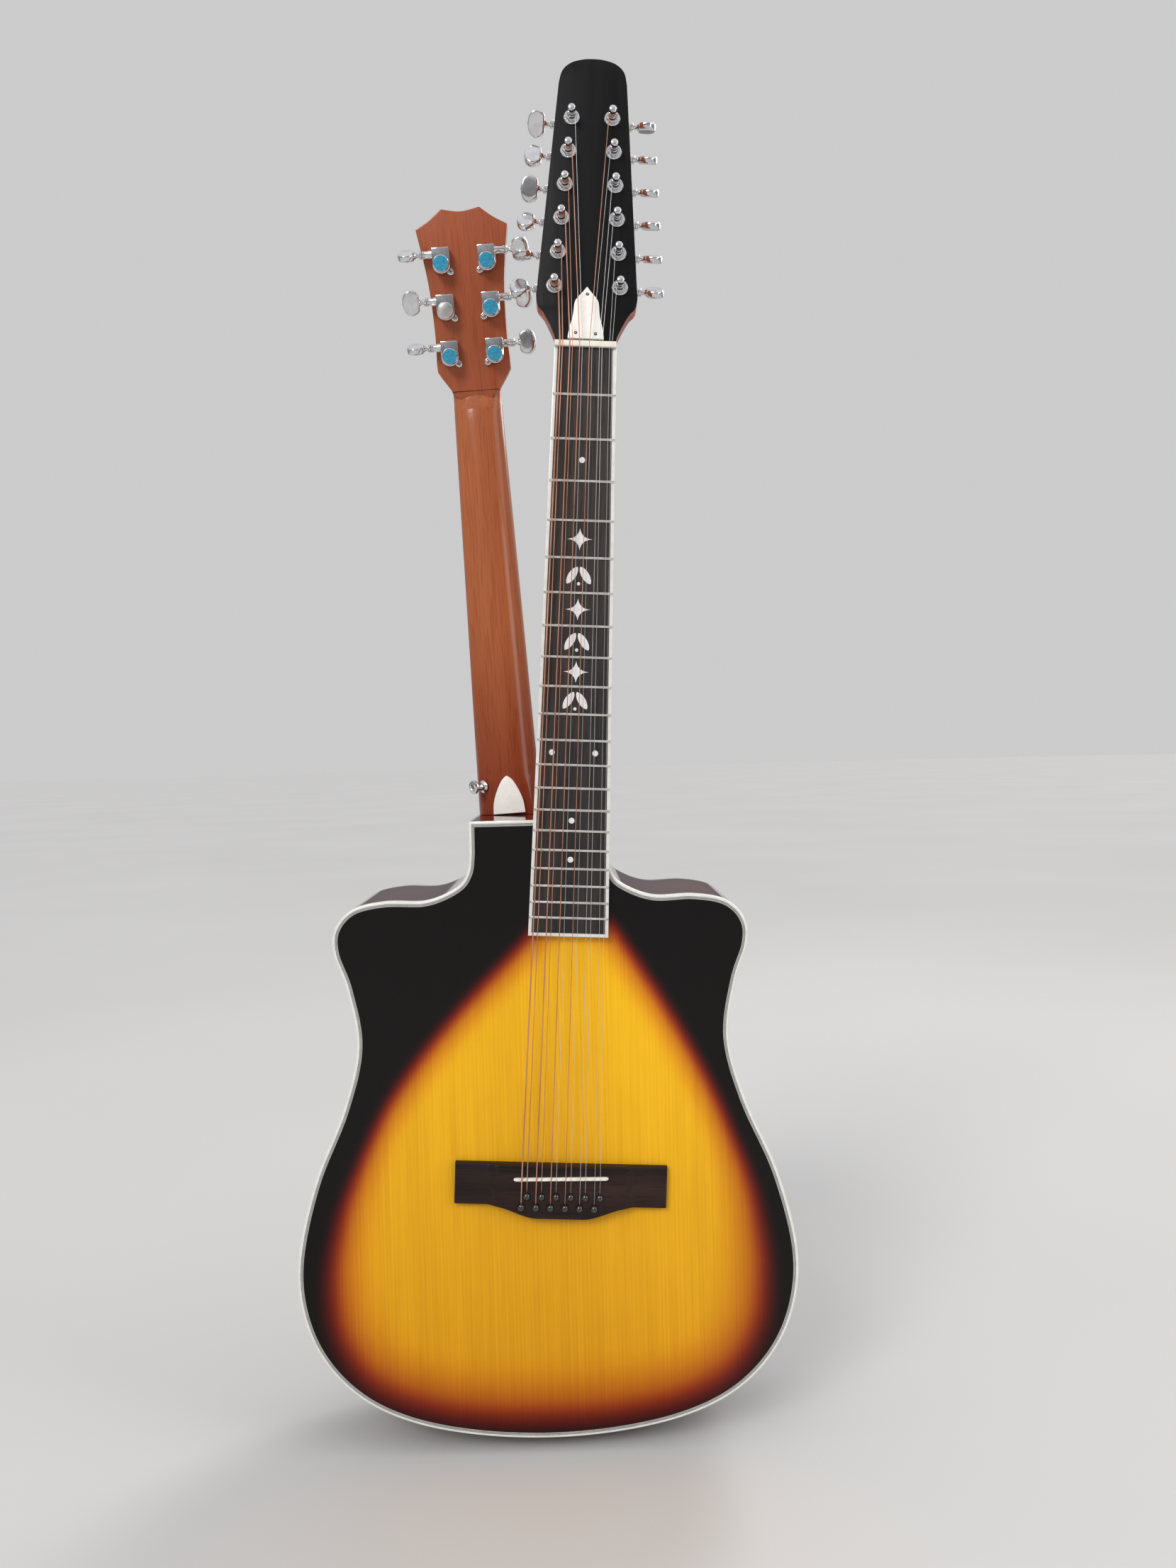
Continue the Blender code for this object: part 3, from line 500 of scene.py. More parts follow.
def board_wood():
    """Oiled rosewood with short open pores along Z."""
    look = Look("board_rosewood", Specular_IOR_Level=0.4)
    bands = look.noise(60, (1, 1, 0.05), warp=0.4)
    pores = look.noise(1000, (1, 1, 0.035), detail=2, rough=0.6)
    shade = look.ramp(bands, (0.32, (0.0125, 0.0105, 0.010)), (0.70, (0.042, 0.031, 0.027)))
    shade = look.tint(0.7, shade, pores, (0.38, (0.30, 0.28, 0.27)), (0.48, WHITE))
    return look.finish(shade, pores, 0.36, 0.56, 0.00007, 0.45)


def bridge_wood():
    """Rosewood with its grain across the instrument."""
    look = Look("bridge_rosewood", Specular_IOR_Level=0.2)
    bands = look.noise(60, (0.06, 1, 1), warp=0.4)
    pores = look.noise(900, (0.04, 1, 1), detail=2, rough=0.6)
    shade = look.ramp(bands, (0.30, (0.009, 0.005, 0.0045)), (0.72, (0.040, 0.019, 0.015)))
    shade = look.tint(0.6, shade, pores, (0.38, (0.35, 0.32, 0.30)), (0.48, WHITE))
    return look.finish(shade, pores, 0.34, 0.52, 0.00006, 0.4)


def moulded(name, colour, shade, rough, coat):
    """A plastic or bone surface with faint clouding and fine handling marks."""
    look = Look(name, Coat_Weight=coat, Coat_Roughness=0.08)
    tone = look.ramp(look.noise(120, detail=3), (0.30, shade), (0.66, colour))
    marks = look.noise(1400, (1, 1, 0.2), detail=2)
    return look.finish(tone, marks, rough - 0.06, rough + 0.10, 0.000012, 0.3)


def metal(name, colour, shade, low, high, stretch=WHITE, relief=0.000002):
    """Plated metal with slight tarnish and hairline scratches."""
    look = Look(name, Metallic=1.0)
    tone = look.ramp(look.noise(210), (0.34, shade), (0.62, colour))
    return look.finish(tone, look.noise(1500, stretch, detail=2), low, high, relief, 0.2)


def wound_wire(name, colour, shade):
    """Round-wound string: fine turns of wire along the length, with painted shade in the grooves between the
    turns.
    """
    look = Look(name, Metallic=1.0)
    turns = look.wave(620, "Z", (0, 0, 1))
    cloud = look.noise(60, (1, 1, 0.3), detail=3)
    tone = look.ramp(cloud, (0.34, shade), (0.62, colour))
    # Painted shade: the colour is darkened in the grooves between the turns.
    tone = look.tint(0.6, tone, turns, (0.05, (0.40, 0.36, 0.34)), (0.45, WHITE))
    return look.colour(tone).rough(cloud, 0.26, 0.40).bump(turns, 0.00006, 0.6).material


def pearl():
    """Shell: soft bands of silver, pink and green."""
    look = Look("pearl", Coat_Weight=0.8, Coat_Roughness=0.05)
    bands = look.noise(260, (1, 1, 0.55), warp=2.2)
    shade = look.ramp(bands, (0.28, (0.50, 0.60, 0.56)), (0.42, (0.80, 0.80, 0.78)),
                      (0.55, (0.88, 0.80, 0.80)), (0.70, (0.66, 0.76, 0.80)))
    return look.finish(shade, bands, 0.14, 0.26, 0.00002, 0.3)


def film():
    """Blue protective film, lightly wrinkled; its colour is darker in the wrinkles' hollows and lighter on
    their ridges, as painted shade and painted highlight.
    """
    look = Look("blue_film", Coat_Weight=0.3, Coat_Roughness=0.2)
    wrinkles_with_painted_shade = look.noise(330, warp=1.5)
    # Painted shade in the hollows and painted highlight on the ridges of the wrinkles.
    shade = look.ramp(wrinkles_with_painted_shade, (0.30, (0.010, 0.19, 0.34)), (0.55, (0.018, 0.30, 0.47)),
                      (0.75, (0.10, 0.42, 0.58)))
    return look.finish(shade, wrinkles_with_painted_shade, 0.30, 0.52, 0.00010, 0.5)


def black_lacquer():
    """Matt black head facing with a faint grain showing through."""
    look = Look("black_face", Specular_IOR_Level=0.12)
    grain = look.noise(150, (1, 1, 0.04))
    shade = look.ramp(grain, (0.32, (0.0030, 0.0031, 0.0034)), (0.68, (0.0065, 0.0067, 0.0072)))
    return look.finish(shade, grain, 0.40, 0.55, 0.00004, 0.35)


def raw_wood(name, light, dark):
    """Unfinished wood inside the body."""
    look = Look(name)
    lines = look.noise(120, (1, 1, 0.04))
    return look.finish(look.ramp(lines, (0.32, dark), (0.66, light)), lines, 0.68, 0.85, 0.00006, 0.4)


M = {
    "top_front": spruce_top("spruce_sunburst_front"),
    "top_rear": spruce_top("spruce_sunburst_rear"),
    "ribs": rib_wood(),
    "binding": moulded("white_binding", (0.80, 0.79, 0.75), (0.70, 0.69, 0.64), 0.24, 0.8),
    "purfling_light": moulded("purfling_light", (0.40, 0.40, 0.39), (0.32, 0.32, 0.31), 0.26, 0.8),
    "purfling_dark": moulded("purfling_dark", (0.050, 0.047, 0.045), (0.025, 0.023, 0.022), 0.26, 0.8),
    "guitar_neck": mahogany("neck_mahogany", *NECK_TONES, HEEL_SHADE),
    "bouzouki_neck": mahogany("neck_mahogany_front", *NECK_TONES, HEEL_SHADE),
    "head_wood": mahogany("head_mahogany", (0.43, 0.112, 0.046), (0.33, 0.080, 0.033), gloss=0.36),
    "black_face": black_lacquer(),
    "board": board_wood(),
    "bridge": bridge_wood(),
    "fret": metal("nickel_fret", (0.80, 0.78, 0.74), (0.62, 0.60, 0.56), 0.16, 0.30, (0.1, 1, 1)),
    "bone": moulded("bone", (0.84, 0.81, 0.72), (0.70, 0.66, 0.54), 0.34, 0.25),
    "cover": moulded("white_cover", (0.94, 0.93, 0.88), (0.88, 0.86, 0.79), 0.26, 0.7),
    "pearl": pearl(),
    "bronze": wound_wire("wound_bronze", (0.86, 0.46, 0.33), (0.66, 0.31, 0.20)),
    "steel": metal("plain_steel", (0.72, 0.71, 0.70), (0.66, 0.65, 0.64), 0.34, 0.42, (1, 1, 0.01),
                   0.0000002),
    "chrome": metal("chrome", (0.74, 0.74, 0.75), (0.62, 0.62, 0.63), 0.08, 0.14, relief=0.0000005),
    "nickel": metal("satin_nickel", (0.62, 0.60, 0.57), (0.50, 0.48, 0.45), 0.28, 0.42),
    "film": film(),
    "ebony": moulded("black_pin", (0.012, 0.012, 0.013), (0.006, 0.006, 0.007), 0.14, 1.0),
    # Near black: the colour of the rod cover's screw heads, and painted shade in the post holes, the gaps
    # round the posts and the screw recesses.
    "dark": moulded("dark_screw_heads_and_recess_shade", (0.012, 0.011, 0.010), (0.006, 0.005, 0.005), 0.5, 0.0),
    "inside": raw_wood("inside_spruce", (0.62, 0.44, 0.25), (0.46, 0.30, 0.15)),
    "inside_rib": raw_wood("inside_mahogany", (0.30, 0.15, 0.08), (0.20, 0.09, 0.045)),
}

# --- body


def signed_distance(point, loop):
    """Distance to a closed outline, negative inside it."""
    inside = False
    nearest = 1e9
    for i in range(len(loop)):
        ax, az = loop[i - 1]
        bx, bz = loop[i]
        px, pz = point[0] - ax, point[1] - az
        ex, ez = bx - ax, bz - az
        t = max(0.0, min(1.0, (px * ex + pz * ez) / (ex * ex + ez * ez)))
        nearest = min(nearest, math.hypot(px - t * ex, pz - t * ez))
        if (az > point[1]) != (bz > point[1]) and point[0] < ax + (point[1] - az) / (bz - az) * ex:
            inside = not inside
    return -nearest if inside else nearest


def make_soundboard(spec, outline):
    """A face with a fine mesh that carries the sunburst's field, and its bare underside."""
    side = spec["side"]
    loops = [inset(outline, BINDING)]
    if spec is GUITAR:
        loops.append(circle(*hole_centre(), HOLE_RADIUS, HOLE_SIDES))
    work = bmesh.new()
    for depth, index in ((0.0, 0), (TOP, 1)):
        edges = []
        for loop in loops:
            ring = [work.verts.new((x, depth, z)) for x, z in loop]
            edges += [work.edges.new((ring[i - 1], ring[i])) for i in range(len(ring))]
        for item in bmesh.ops.triangle_fill(work, use_beauty=True, edges=edges)["geom"]:
            if isinstance(item, bmesh.types.BMFace):
                item.material_index = index
    for loop in loops[1:]:
        rows = [[work.verts.new((x, depth, z)) for x, z in loop] for depth in (0.0, TOP)]
        bridge_rings(work, rows, material=1)
    for axis, k in [(0, k) for k in range(-33, 34)] + [(2, k) for k in range(1, 83)]:
        normal = Matrix.Identity(3)[axis]
        front = [f for f in work.faces if f.material_index == 0]
        geometry = list({v for f in front for v in f.verts}) + list({e for f in front for e in f.edges})
        bmesh.ops.bisect_plane(work, geom=geometry + front, plane_co=normal * (k * MESH_STEP + 0.0001),
                               plane_no=normal, dist=1e-7)
    burst = [(x * MM, z * MM) for x, z in smoothed(BURST_FRONT, 5, closed=True)]
    if spec is GUITAR:
        burst = [(x * 0.93, 0.004 + z * 0.93) for x, z in burst]
    values = []
    for vert in work.verts:
        distance = signed_distance((vert.co.x, vert.co.z), burst)
        soft = 0.013 + 0.014 * max(0.0, min(1.0, (0.24 - vert.co.z) / 0.20))
        values.append(max(0.0, min(1.0, 0.60 + distance / (2.9 * soft))))
    obj = piece(side + "_top", work, face_frame(spec), f"top_{side} inside",
                replaces=[side + "_soundboard"])
    obj.data.attributes.new("burst", "FLOAT", "POINT").data.foreach_set("value", values)


def make_braces(spec, bars):
    """Wooden bars under a soundboard, with rounded tops."""
    work = bmesh.new()
    for x, z, length, angle, height, width in bars:
        turn = Matrix.Translation((x * MM, 0, z * MM)) @ Matrix.Rotation(math.radians(angle), 4, "Y")
        rings = []
        for t in (-1, -0.86, 0.86, 1):
            tall = height * (0.35 if abs(t) == 1 else 1.0)
            section = [(-1, 0), (-1, 0.7), (-0.5, 1), (0.5, 1), (1, 0.7), (1, 0)]
            rings.append([turn @ Vector((t * length / 2 * MM, TOP + q * tall * MM, p * width / 2 * MM))
                          for p, q in section])
        add_rings(work, rings)
    piece(f"{spec['side']}_braces", work, face_frame(spec), "inside")


def make_body():
    outline = body_outline()
    frame_front = face_frame(BOUZOUKI)
    rear, low = BODY_DEPTH, BINDING_DROP
    work = bmesh.new()
    for near, far, index in ((0, 1.4 * MM, 0), (1.5 * MM, 2.8 * MM, 1)):
        add_sweep(work, outline, [(near, low), (near, rear - low), (far, rear - low), (far, low)], index)
    lining = [(2.8, TOP / MM), (9, TOP / MM), (5.5, 16), (2.8, 18)]
    add_sweep(work, outline, [(a * MM, b * MM) for a, b in lining], 1)
    add_sweep(work, outline, [(a * MM, rear - b * MM) for a, b in reversed(lining)], 1)
    piece("ribs", work, frame_front, "ribs inside_rib", replaces=["body_sides"])

    work = bmesh.new()
    round_off = [(0, low), (0, 1.0 * MM), (0.12 * MM, 0.55 * MM), (0.42 * MM, 0.2 * MM), (0.9 * MM, 0),
                 (BINDING, 0), (BINDING, low)]
    add_sweep(work, outline, round_off)
    add_sweep(work, outline, [(a, rear - b) for a, b in reversed(round_off)])
    bottom, top = BODY_LENGTH - BINDING, BODY_LENGTH + PROUD
    for side in (-1, 1):
        left, right = sorted((side * (TOWER_HALF + PROUD), side * (TOWER_HALF - BINDING)))
        add_plate(work, [(left, bottom), (right, bottom), (right, top), (left, top)],
                  low - 1 * MM, rear - low + 1 * MM)
    piece("binding", work, frame_front, "binding", replaces=["body_binding"])

    bands = [(2.2, 2.5, 1), (2.5, 3.25, 0), (3.25, 3.5, 1), (3.5, 4.3, 0), (4.3, 4.5, 1)]
    for spec in (BOUZOUKI, GUITAR):
        work = bmesh.new()
        for near, far, index in bands:
            add_sweep(work, outline, band_section(near, far), index)
        piece(f"{spec['side']}_purfling", work, face_frame(spec), "purfling_light purfling_dark")
    for spec in (BOUZOUKI, GUITAR):
        make_soundboard(spec, outline)
    make_braces(BOUZOUKI, [(0, 408, 268, 0, 8, 7), (0, 300, 268, 0, 8, 7), (11, 205, 190, 0, 3, 45),
                           (-62, 120, 150, -62, 8, 7), (62, 120, 150, 62, 8, 7)])
    make_braces(GUITAR, [(0, 411, 266, 0, 8, 7), (11, 205, 170, 0, 3, 45), (-44, 235, 240, 58, 8, 7),
                         (44, 235, 240, -58, 8, 7), (0, 90, 200, 0, 8, 7)])


def band_section(near, far):
    """A thin inlaid band between two distances, in millimetres, as (distance, depth) in metres."""
    return [(near * MM, 0.3 * MM), (near * MM, -0.03 * MM), (far * MM, -0.03 * MM), (far * MM, 0.3 * MM)]


def add_hoop(work, section, material=0):
    """A ring round the soundhole's centre, from (radius, depth) points."""
    rows = [[work.verts.new((x, depth, z)) for x, z in circle(*hole_centre(), radius, HOLE_SIDES)]
            for radius, depth in section]
    bridge_rings(work, rows, True, material)


def make_rosette():
    """Rings of dark and light wood round the guitar's soundhole."""
    bands = [(52.5, 53.0, 1), (53.0, 53.7, 0), (53.7, 54.2, 1), (56.5, 57.0, 1), (57.0, 57.8, 0),
             (57.8, 60.8, 2), (60.8, 61.6, 0), (61.6, 62.1, 1), (64.4, 64.9, 1), (64.9, 65.6, 0),
             (65.6, 66.1, 1)]
    work = bmesh.new()
    for near, far, index in bands:
        add_hoop(work, band_section(near, far), index)
    piece("rosette", work, face_frame(GUITAR), "purfling_light purfling_dark pearl")
    work = bmesh.new()
    edge = [(50.0, -0.02), (48.8, 0.15), (48.8, 2.9), (50.0, 2.95)]
    add_hoop(work, [(radius * MM, depth * MM) for radius, depth in edge])
    piece("soundhole_edge", work, face_frame(GUITAR), "binding")

# --- necks and heads


def neck_section(half, depth, flat, along, top=0.0, tilt=0.0):
    """A neck's cross-section: level on top, round behind, with a flat of a given half-width."""
    ring = []
    for i in range(33):
        angle = math.pi * i / 32
        swell = math.cos(angle)
        x = flat * max(-1, min(1, 3 * swell)) + (half - flat) * swell
        ring.append((x, top + (depth - top) * max(0.0, math.sin(angle)) ** 0.75, along + tilt * x))
    return ring


def shaft_start(spec):
    """Where a neck leaves the body, in millimetres along its axis."""
    return (BODY_LENGTH + 0.3 * MM) * math.hypot(1, lean_of(spec)) / MM


def neck_stations(spec):
    """(along, half, depth, flat, top) in metres, eased between the carved stations."""
    given = [(shaft_start(spec), 22.2, 15, 0), (512, 22.2, 13, 0), (524, 22.1, 9, 0), (536, 21.9, 3, 0),
             (565, 21.4, 0, 0), (700, 20.6, 0, 0), (836, 20.0, 0, 0), (848, 18.0, 0, 0), (856, 15.0, 2, 0),
             (862, 12.9, 3, 0), (868, 12.2, 4, 0.6), (876, 12.0, 6, 3), (884, 12.2, 6, 5)]
    rows = []
    for along, depth, flat, top in smoothed(given, 5):
        half = half_width(spec, along * MM) if along < 858 else spec["nut_half"] - 0.1 * MM
        rows.append((along * MM, half, depth * MM, max(0, flat) * MM, max(0, top) * MM))
    return rows


def make_neck(spec):
    name, slot = spec["name"], spec["neck_slot"]
    work = bmesh.new()
    rings = []
    for along, half, depth, flat, top in neck_stations(spec):
        rings.append(neck_section(half, depth, flat, along, top, 0 if rings else lean_of(spec)))
    add_rings(work, rings)
    piece(name + "_neck_shaft", work, neck_frame(spec), name + "_neck", replaces=[name + "_neck"])

    work = bmesh.new()
    outline = both_sides(smoothed(spec["head"], 6, corners=spec["corners"]))
    mid = inset(outline, 0.2 * MM)
    layers = [(inset(outline, 0.7 * MM), 0), (mid, 0.2 * MM), (outline, 0.7 * MM), (outline, 1.6 * MM),
              (outline, HEAD_THICK - 1.1 * MM), (mid, HEAD_THICK - 0.35 * MM),
              (inset(outline, 1.1 * MM), HEAD_THICK)]
    rows = [[work.verts.new((x, y, z)) for x, z in loop] for loop, y in layers]
    bridge_rings(work, rows[:4])
    bridge_rings(work, rows[3:], material=1)
    work.faces.new(rows[0]).material_index = 0
    work.faces.new(rows[-1]).material_index = 1
    piece(name + "_head", work, head_frame(spec), "black_face head_wood")

    work = bmesh.new()
    edge = [(x * MM, z * MM) for x, z in smoothed(spec["lip"], 6)]
    side = edge[-1][0]
    loop = edge + [(side, LIP_END), (-side, LIP_END)] + [(-x, z) for x, z in reversed(edge[1:])]
    add_plate(work, loop, HEAD_THICK - 9 * MM, HEAD_THICK - 0.02 * MM, 2.6 * MM)
    piece(name + "_head_lip", work, head_frame(spec), "head_wood")

    work = bmesh.new()
    start = shaft_start(spec) + 1
    cap = smoothed([(13.9, start), (12.9, start + 10), (9.6, start + 20), (4.8, start + 29),
                    (0, start + 33)], 6, corners={0})
    add_plate(work, both_sides(cap), HEEL_DEPTH - spec["cap_sunk"] * MM, HEEL_DEPTH + 2.8 * MM, 0.5 * MM)
    piece(name + "_heel_plate", work, neck_frame(spec), "cover", replaces=spec["cap_nodes"])


def make_rod_cover():
    half = smoothed([(14.2, 8), (13.2, 16), (10.6, 27), (9.5, 37.5), (7.2, 42), (3.4, 46.5), (0, 51)], 5,
                    corners={0})
    work = bmesh.new()
    add_plate(work, both_sides(half), -2.3 * MM, -0.05 * MM, 0.35 * MM)
    piece("rod_cover", work, head_frame(BOUZOUKI), "cover", replaces=["truss_rod_cover"])
    work = bmesh.new()
    for x, z in ((0.4, 44.6), (-7.9, 12.5), (7.6, 12.0)):
        add_screw(work, Matrix.Translation((x * MM, -2.3 * MM, z * MM)) @ OUT, 1.35, 0.35, 0, 1)
    piece("rod_cover_screws", work, head_frame(BOUZOUKI), "dark nickel")


def add_screw(work, matrix, radius, height, material, slot_material):
    """A domed screw head with a cross recess, standing along local Z."""
    profile = [(0, height), (radius * 0.5, height * 0.93), (radius * 0.82, height * 0.6), (radius, 0.0),
               (radius, -0.3)]
    add_lathe(work, profile, 20, matrix, material)
    # The cross is a pair of flat bars in the slot material, standing just proud of the dome; where that is
    # the dark material, they are painted shade in the recess.
    arm = radius * 0.62
    for wide, tall in ((arm, arm * 0.2), (arm * 0.2, arm)):
        corners = [(-wide, -tall), (wide, -tall), (wide, tall), (-wide, tall)]
        rings = [[matrix @ Vector((x * MM, y * MM, h * MM)) for x, y in corners]
                 for h in (height * 0.5, height + 0.02)]
        add_rings(work, rings, material=slot_material)

# --- fingerboards


def lozenge(width, length, waist):
    """A four-pointed generic motif with hollow sides, as (X, Z) in millimetres."""
    loop = []
    for sx, sz in ((1, 1), (-1, 1), (-1, -1), (1, -1)):
        a = (width / 2 * sx, 0) if sx * sz > 0 else (0, length / 2 * sz)
        b = (0, length / 2 * sz) if sx * sz > 0 else (width / 2 * sx, 0)
        for step in range(7):
            t = step / 7
            pull = 4 * t * (1 - t) * waist
            loop.append((a[0] + (b[0] - a[0]) * t - sx * pull, a[1] + (b[1] - a[1]) * t - sz * pull))
    return loop


def leaf(x, z, angle, length, width):
    """A pointed leaf, as (X, Z) in millimetres."""
    loop = []
    cos, sin = math.cos(angle), math.sin(angle)
    for k in range(24):
        t = k / 24 * math.tau
        u, v = math.cos(t) * length / 2, math.sin(t) * abs(math.sin(t)) ** 0.35 * width / 2
        loop.append((x + u * cos - v * sin, z + u * sin + v * cos))
    return loop


def inlays(spec):
    """Outlines of every inlay on a board, in metres."""
    shapes = []

    def middle(space):
        return (fret_at(space - 1) + fret_at(space)) / 2 / MM

    singles = (3, 15, 17) if spec is BOUZOUKI else (3, 5, 7, 9, 15, 17, 19)
    for space in singles:
        shapes.append(circle(0, middle(space), 2.3, 28))
    for side in (-1, 1):
        shapes.append(circle(17 * side if spec is BOUZOUKI else 10 * side, middle(12), 2.3, 28))
    if spec is BOUZOUKI:
        for space in (5, 6, 7, 8, 9, 10):
            z = middle(space)
            if space % 2:
                shapes.append([(x, z + dz) for x, dz in lozenge(20, 17, 1.9)])
            else:
                shapes.append(leaf(-5.2, z, math.radians(58), 15.5, 6.0))
                shapes.append(leaf(5.2, z, math.radians(122), 15.5, 6.0))
                shapes.append(circle(0, z - 6.6, 1.3, 18))
    return [[(x * MM, z * MM) for x, z in shape] for shape in shapes]


def make_fingerboard(spec):
    name = spec["name"]
    start, end = BOARD_END, NUT_AT - 0.05 * MM
    wide, narrow = half_width(spec, start), half_width(spec, end)
    band = BOARD_EDGE
    matrix = neck_frame(spec)
    work = bmesh.new()
    core = [(-wide + band, start + band), (wide - band, start + band), (narrow - band, end),
            (-narrow + band, end)]
    add_plate(work, core, -BOARD_TOP, -0.05 * MM)
    piece(f"{name}_board", work, matrix, "board", replaces=[name + "_fingerboard"])

    work = bmesh.new()
    for side in (-1, 1):
        outer = [(side * wide, start), (side * narrow, end)]
        inner = [(side * (narrow - band), end), (side * (wide - band), start)]
        loop = outer + inner
        add_plate(work, loop if side > 0 else loop[::-1], -BOARD_TOP - 0.02 * MM, -0.05 * MM, 0.3 * MM)
    tail = [(-wide + band, start), (wide - band, start), (wide - band, start + band),
            (-wide + band, start + band)]
    add_plate(work, tail, -BOARD_TOP - 0.02 * MM, -0.05 * MM, 0.3 * MM)
    piece(f"{name}_board_binding", work, matrix, "binding")

    work = bmesh.new()
    for number in range(1, FRETS + 1):
        at = fret_at(number)
        reach = half_width(spec, at) - 0.3 * MM
        rings = []
        for x, size in ((-reach, 0.25), (-reach + 0.7 * MM, 1.0), (reach - 0.7 * MM, 1.0), (reach, 0.25)):
            ring = [(x, -BOARD_TOP + 0.5 * MM, at + w * MM) for w in (-1.0, 1.0)]
            ring += [(x, -BOARD_TOP - math.sin(a) * FRET_HEIGHT * size, at + math.cos(a) * 1.05 * MM)
                     for a in [math.pi * k / 8 for k in range(9)]]
            rings.append(ring)
        add_rings(work, rings)
    piece(f"{name}_frets", work, matrix, "fret")

    work = bmesh.new()
    for shape in inlays(spec):
        add_plate(work, shape, -BOARD_TOP - 0.05 * MM, -BOARD_TOP + 0.6 * MM)
    piece(f"{name}_inlays", work, matrix, "pearl")

    half = half_width(spec, NUT_AT)
    work = bmesh.new()
    top = -NUT_TOP / MM
    section = [(-0.05, 0.0), (top + 0.5, 0.0), (top + 0.12, 0.3), (top, 0.9), (top + 0.1, 2.4),
               (top + 0.7, 4.2), (top + 1.3, 4.9), (top + 2.2, 5.2), (-0.05, 5.2)]
    rings = []
    for x, shrink in ((-half, 0.35), (-half + 0.35 * MM, 0), (half - 0.35 * MM, 0), (half, 0.35)):
        rings.append([(x, min(-0.05, y + shrink) * MM if y < -1 else y * MM, NUT_AT + z * MM)
                      for y, z in section])
    add_rings(work, rings)
    piece(f"{name}_nut", work, matrix, "bone", replaces=[name + "_nut_and_strings"])

# --- bridges and strings


def pin_places(spec):
    """(X, Z) in millimetres of every pin, in the order of the strings across the nut."""
    rows = spec["rows"]
    courses = len(spec["nut_x"]) // len(rows)
    places = []
    for course in range(courses):
        middle = (course - (courses - 1) / 2) * spec["course"]
        if len(rows) == 1:
            places.append((middle, rows[0]))
        else:
            places += [(middle - spec["stagger"], rows[1]), (middle + spec["stagger"], rows[0])]
    return places


def ease(value):
    value = max(0.0, min(1.0, value))
    return value * value * (3 - 2 * value)


def saddle_z(spec, x):
    """Where the saddle's crest crosses a string, slanted for the bass side."""
    return SADDLE_AT / MM - 1.2 + 1.2 * x / spec["saddle_half"]


def make_bridge(spec):
    name = spec["name"]
    matrix = neck_frame(spec)
    half = spec["bridge_half"]
    work = bmesh.new()
    stations = [-half + 2 * half * k / 84 for k in range(85)]
    stations = [-half + 0.01] + [-half + 0.8] + stations[1:-1] + [half - 0.8, half - 0.01]
    rings = []
    for x in stations:
        reach = abs(x)
        lower = 179.6 + 9.4 * ease((reach - 18) / 37)
        thick = BRIDGE_TOP / MM - 3.8 * ease((reach - 50) / 9)
        shave = 0.8 * max(0.0, 1 - (half - reach) / 0.8)
        t = thick - shave
        ring = [(lower, -0.05), (lower, -(t - 1.4)), (lower + 0.35, -(t - 0.45)), (lower + 1.3, -t),
                (220.7, -t), (221.65, -(t - 0.45)), (222, -(t - 1.4)), (222, -0.05)]
        rings.append([(x * MM, y * MM, z * MM) for z, y in ring])
    add_rings(work, rings)
    piece(f"{name}_bridge_block", work, matrix, "bridge", replaces=[name + "_bridge"])

    work = bmesh.new()
    reach = spec["saddle_half"]
    rings = []
    for k in range(41):
        x = -reach + 2 * reach * k / 40
        at = saddle_z(spec, x)
        notch = 0.18 * math.sin(x * 1.05) * (1 if abs(x) < reach - 2 else 0)
        fall = 0.9 * max(0.0, (abs(x) - reach + 1.6) / 1.6)
        top = -(SADDLE_TOP / MM) + fall
        thin = 1.3 - 0.5 * max(0.0, (abs(x) - reach + 1.2) / 1.2)
        ring = [(at - thin, -8.5), (at - thin, top + 0.9), (at - thin * 0.6 + notch, top + 0.2),
                (at + notch, top), (at + thin * 0.6 + notch, top + 0.2), (at + thin, top + 0.9),
                (at + thin, -8.5)]
        rings.append([(x * MM, y * MM, z * MM) for z, y in ring])
    add_rings(work, rings)
    piece(f"{name}_saddle", work, matrix, "bone")

    work = bmesh.new()
    profile = [(0, 3.4), (1.1, 3.25), (2.0, 2.75), (2.65, 1.95), (2.9, 1.1), (2.7, 0.45), (2.3, 0.15),
               (2.3, -2)]
    for x, z in pin_places(spec):
        seat = Matrix.Translation((x * MM, -BRIDGE_TOP, z * MM)) @ OUT
        add_lathe(work, profile, 24, seat)
    piece(f"{name}_pins", work, matrix, "ebony")


def string_posts(spec):
    places = post_places(spec)
    return [p for p in places if p[1] < 0] + [p for p in places if p[1] > 0][::-1]


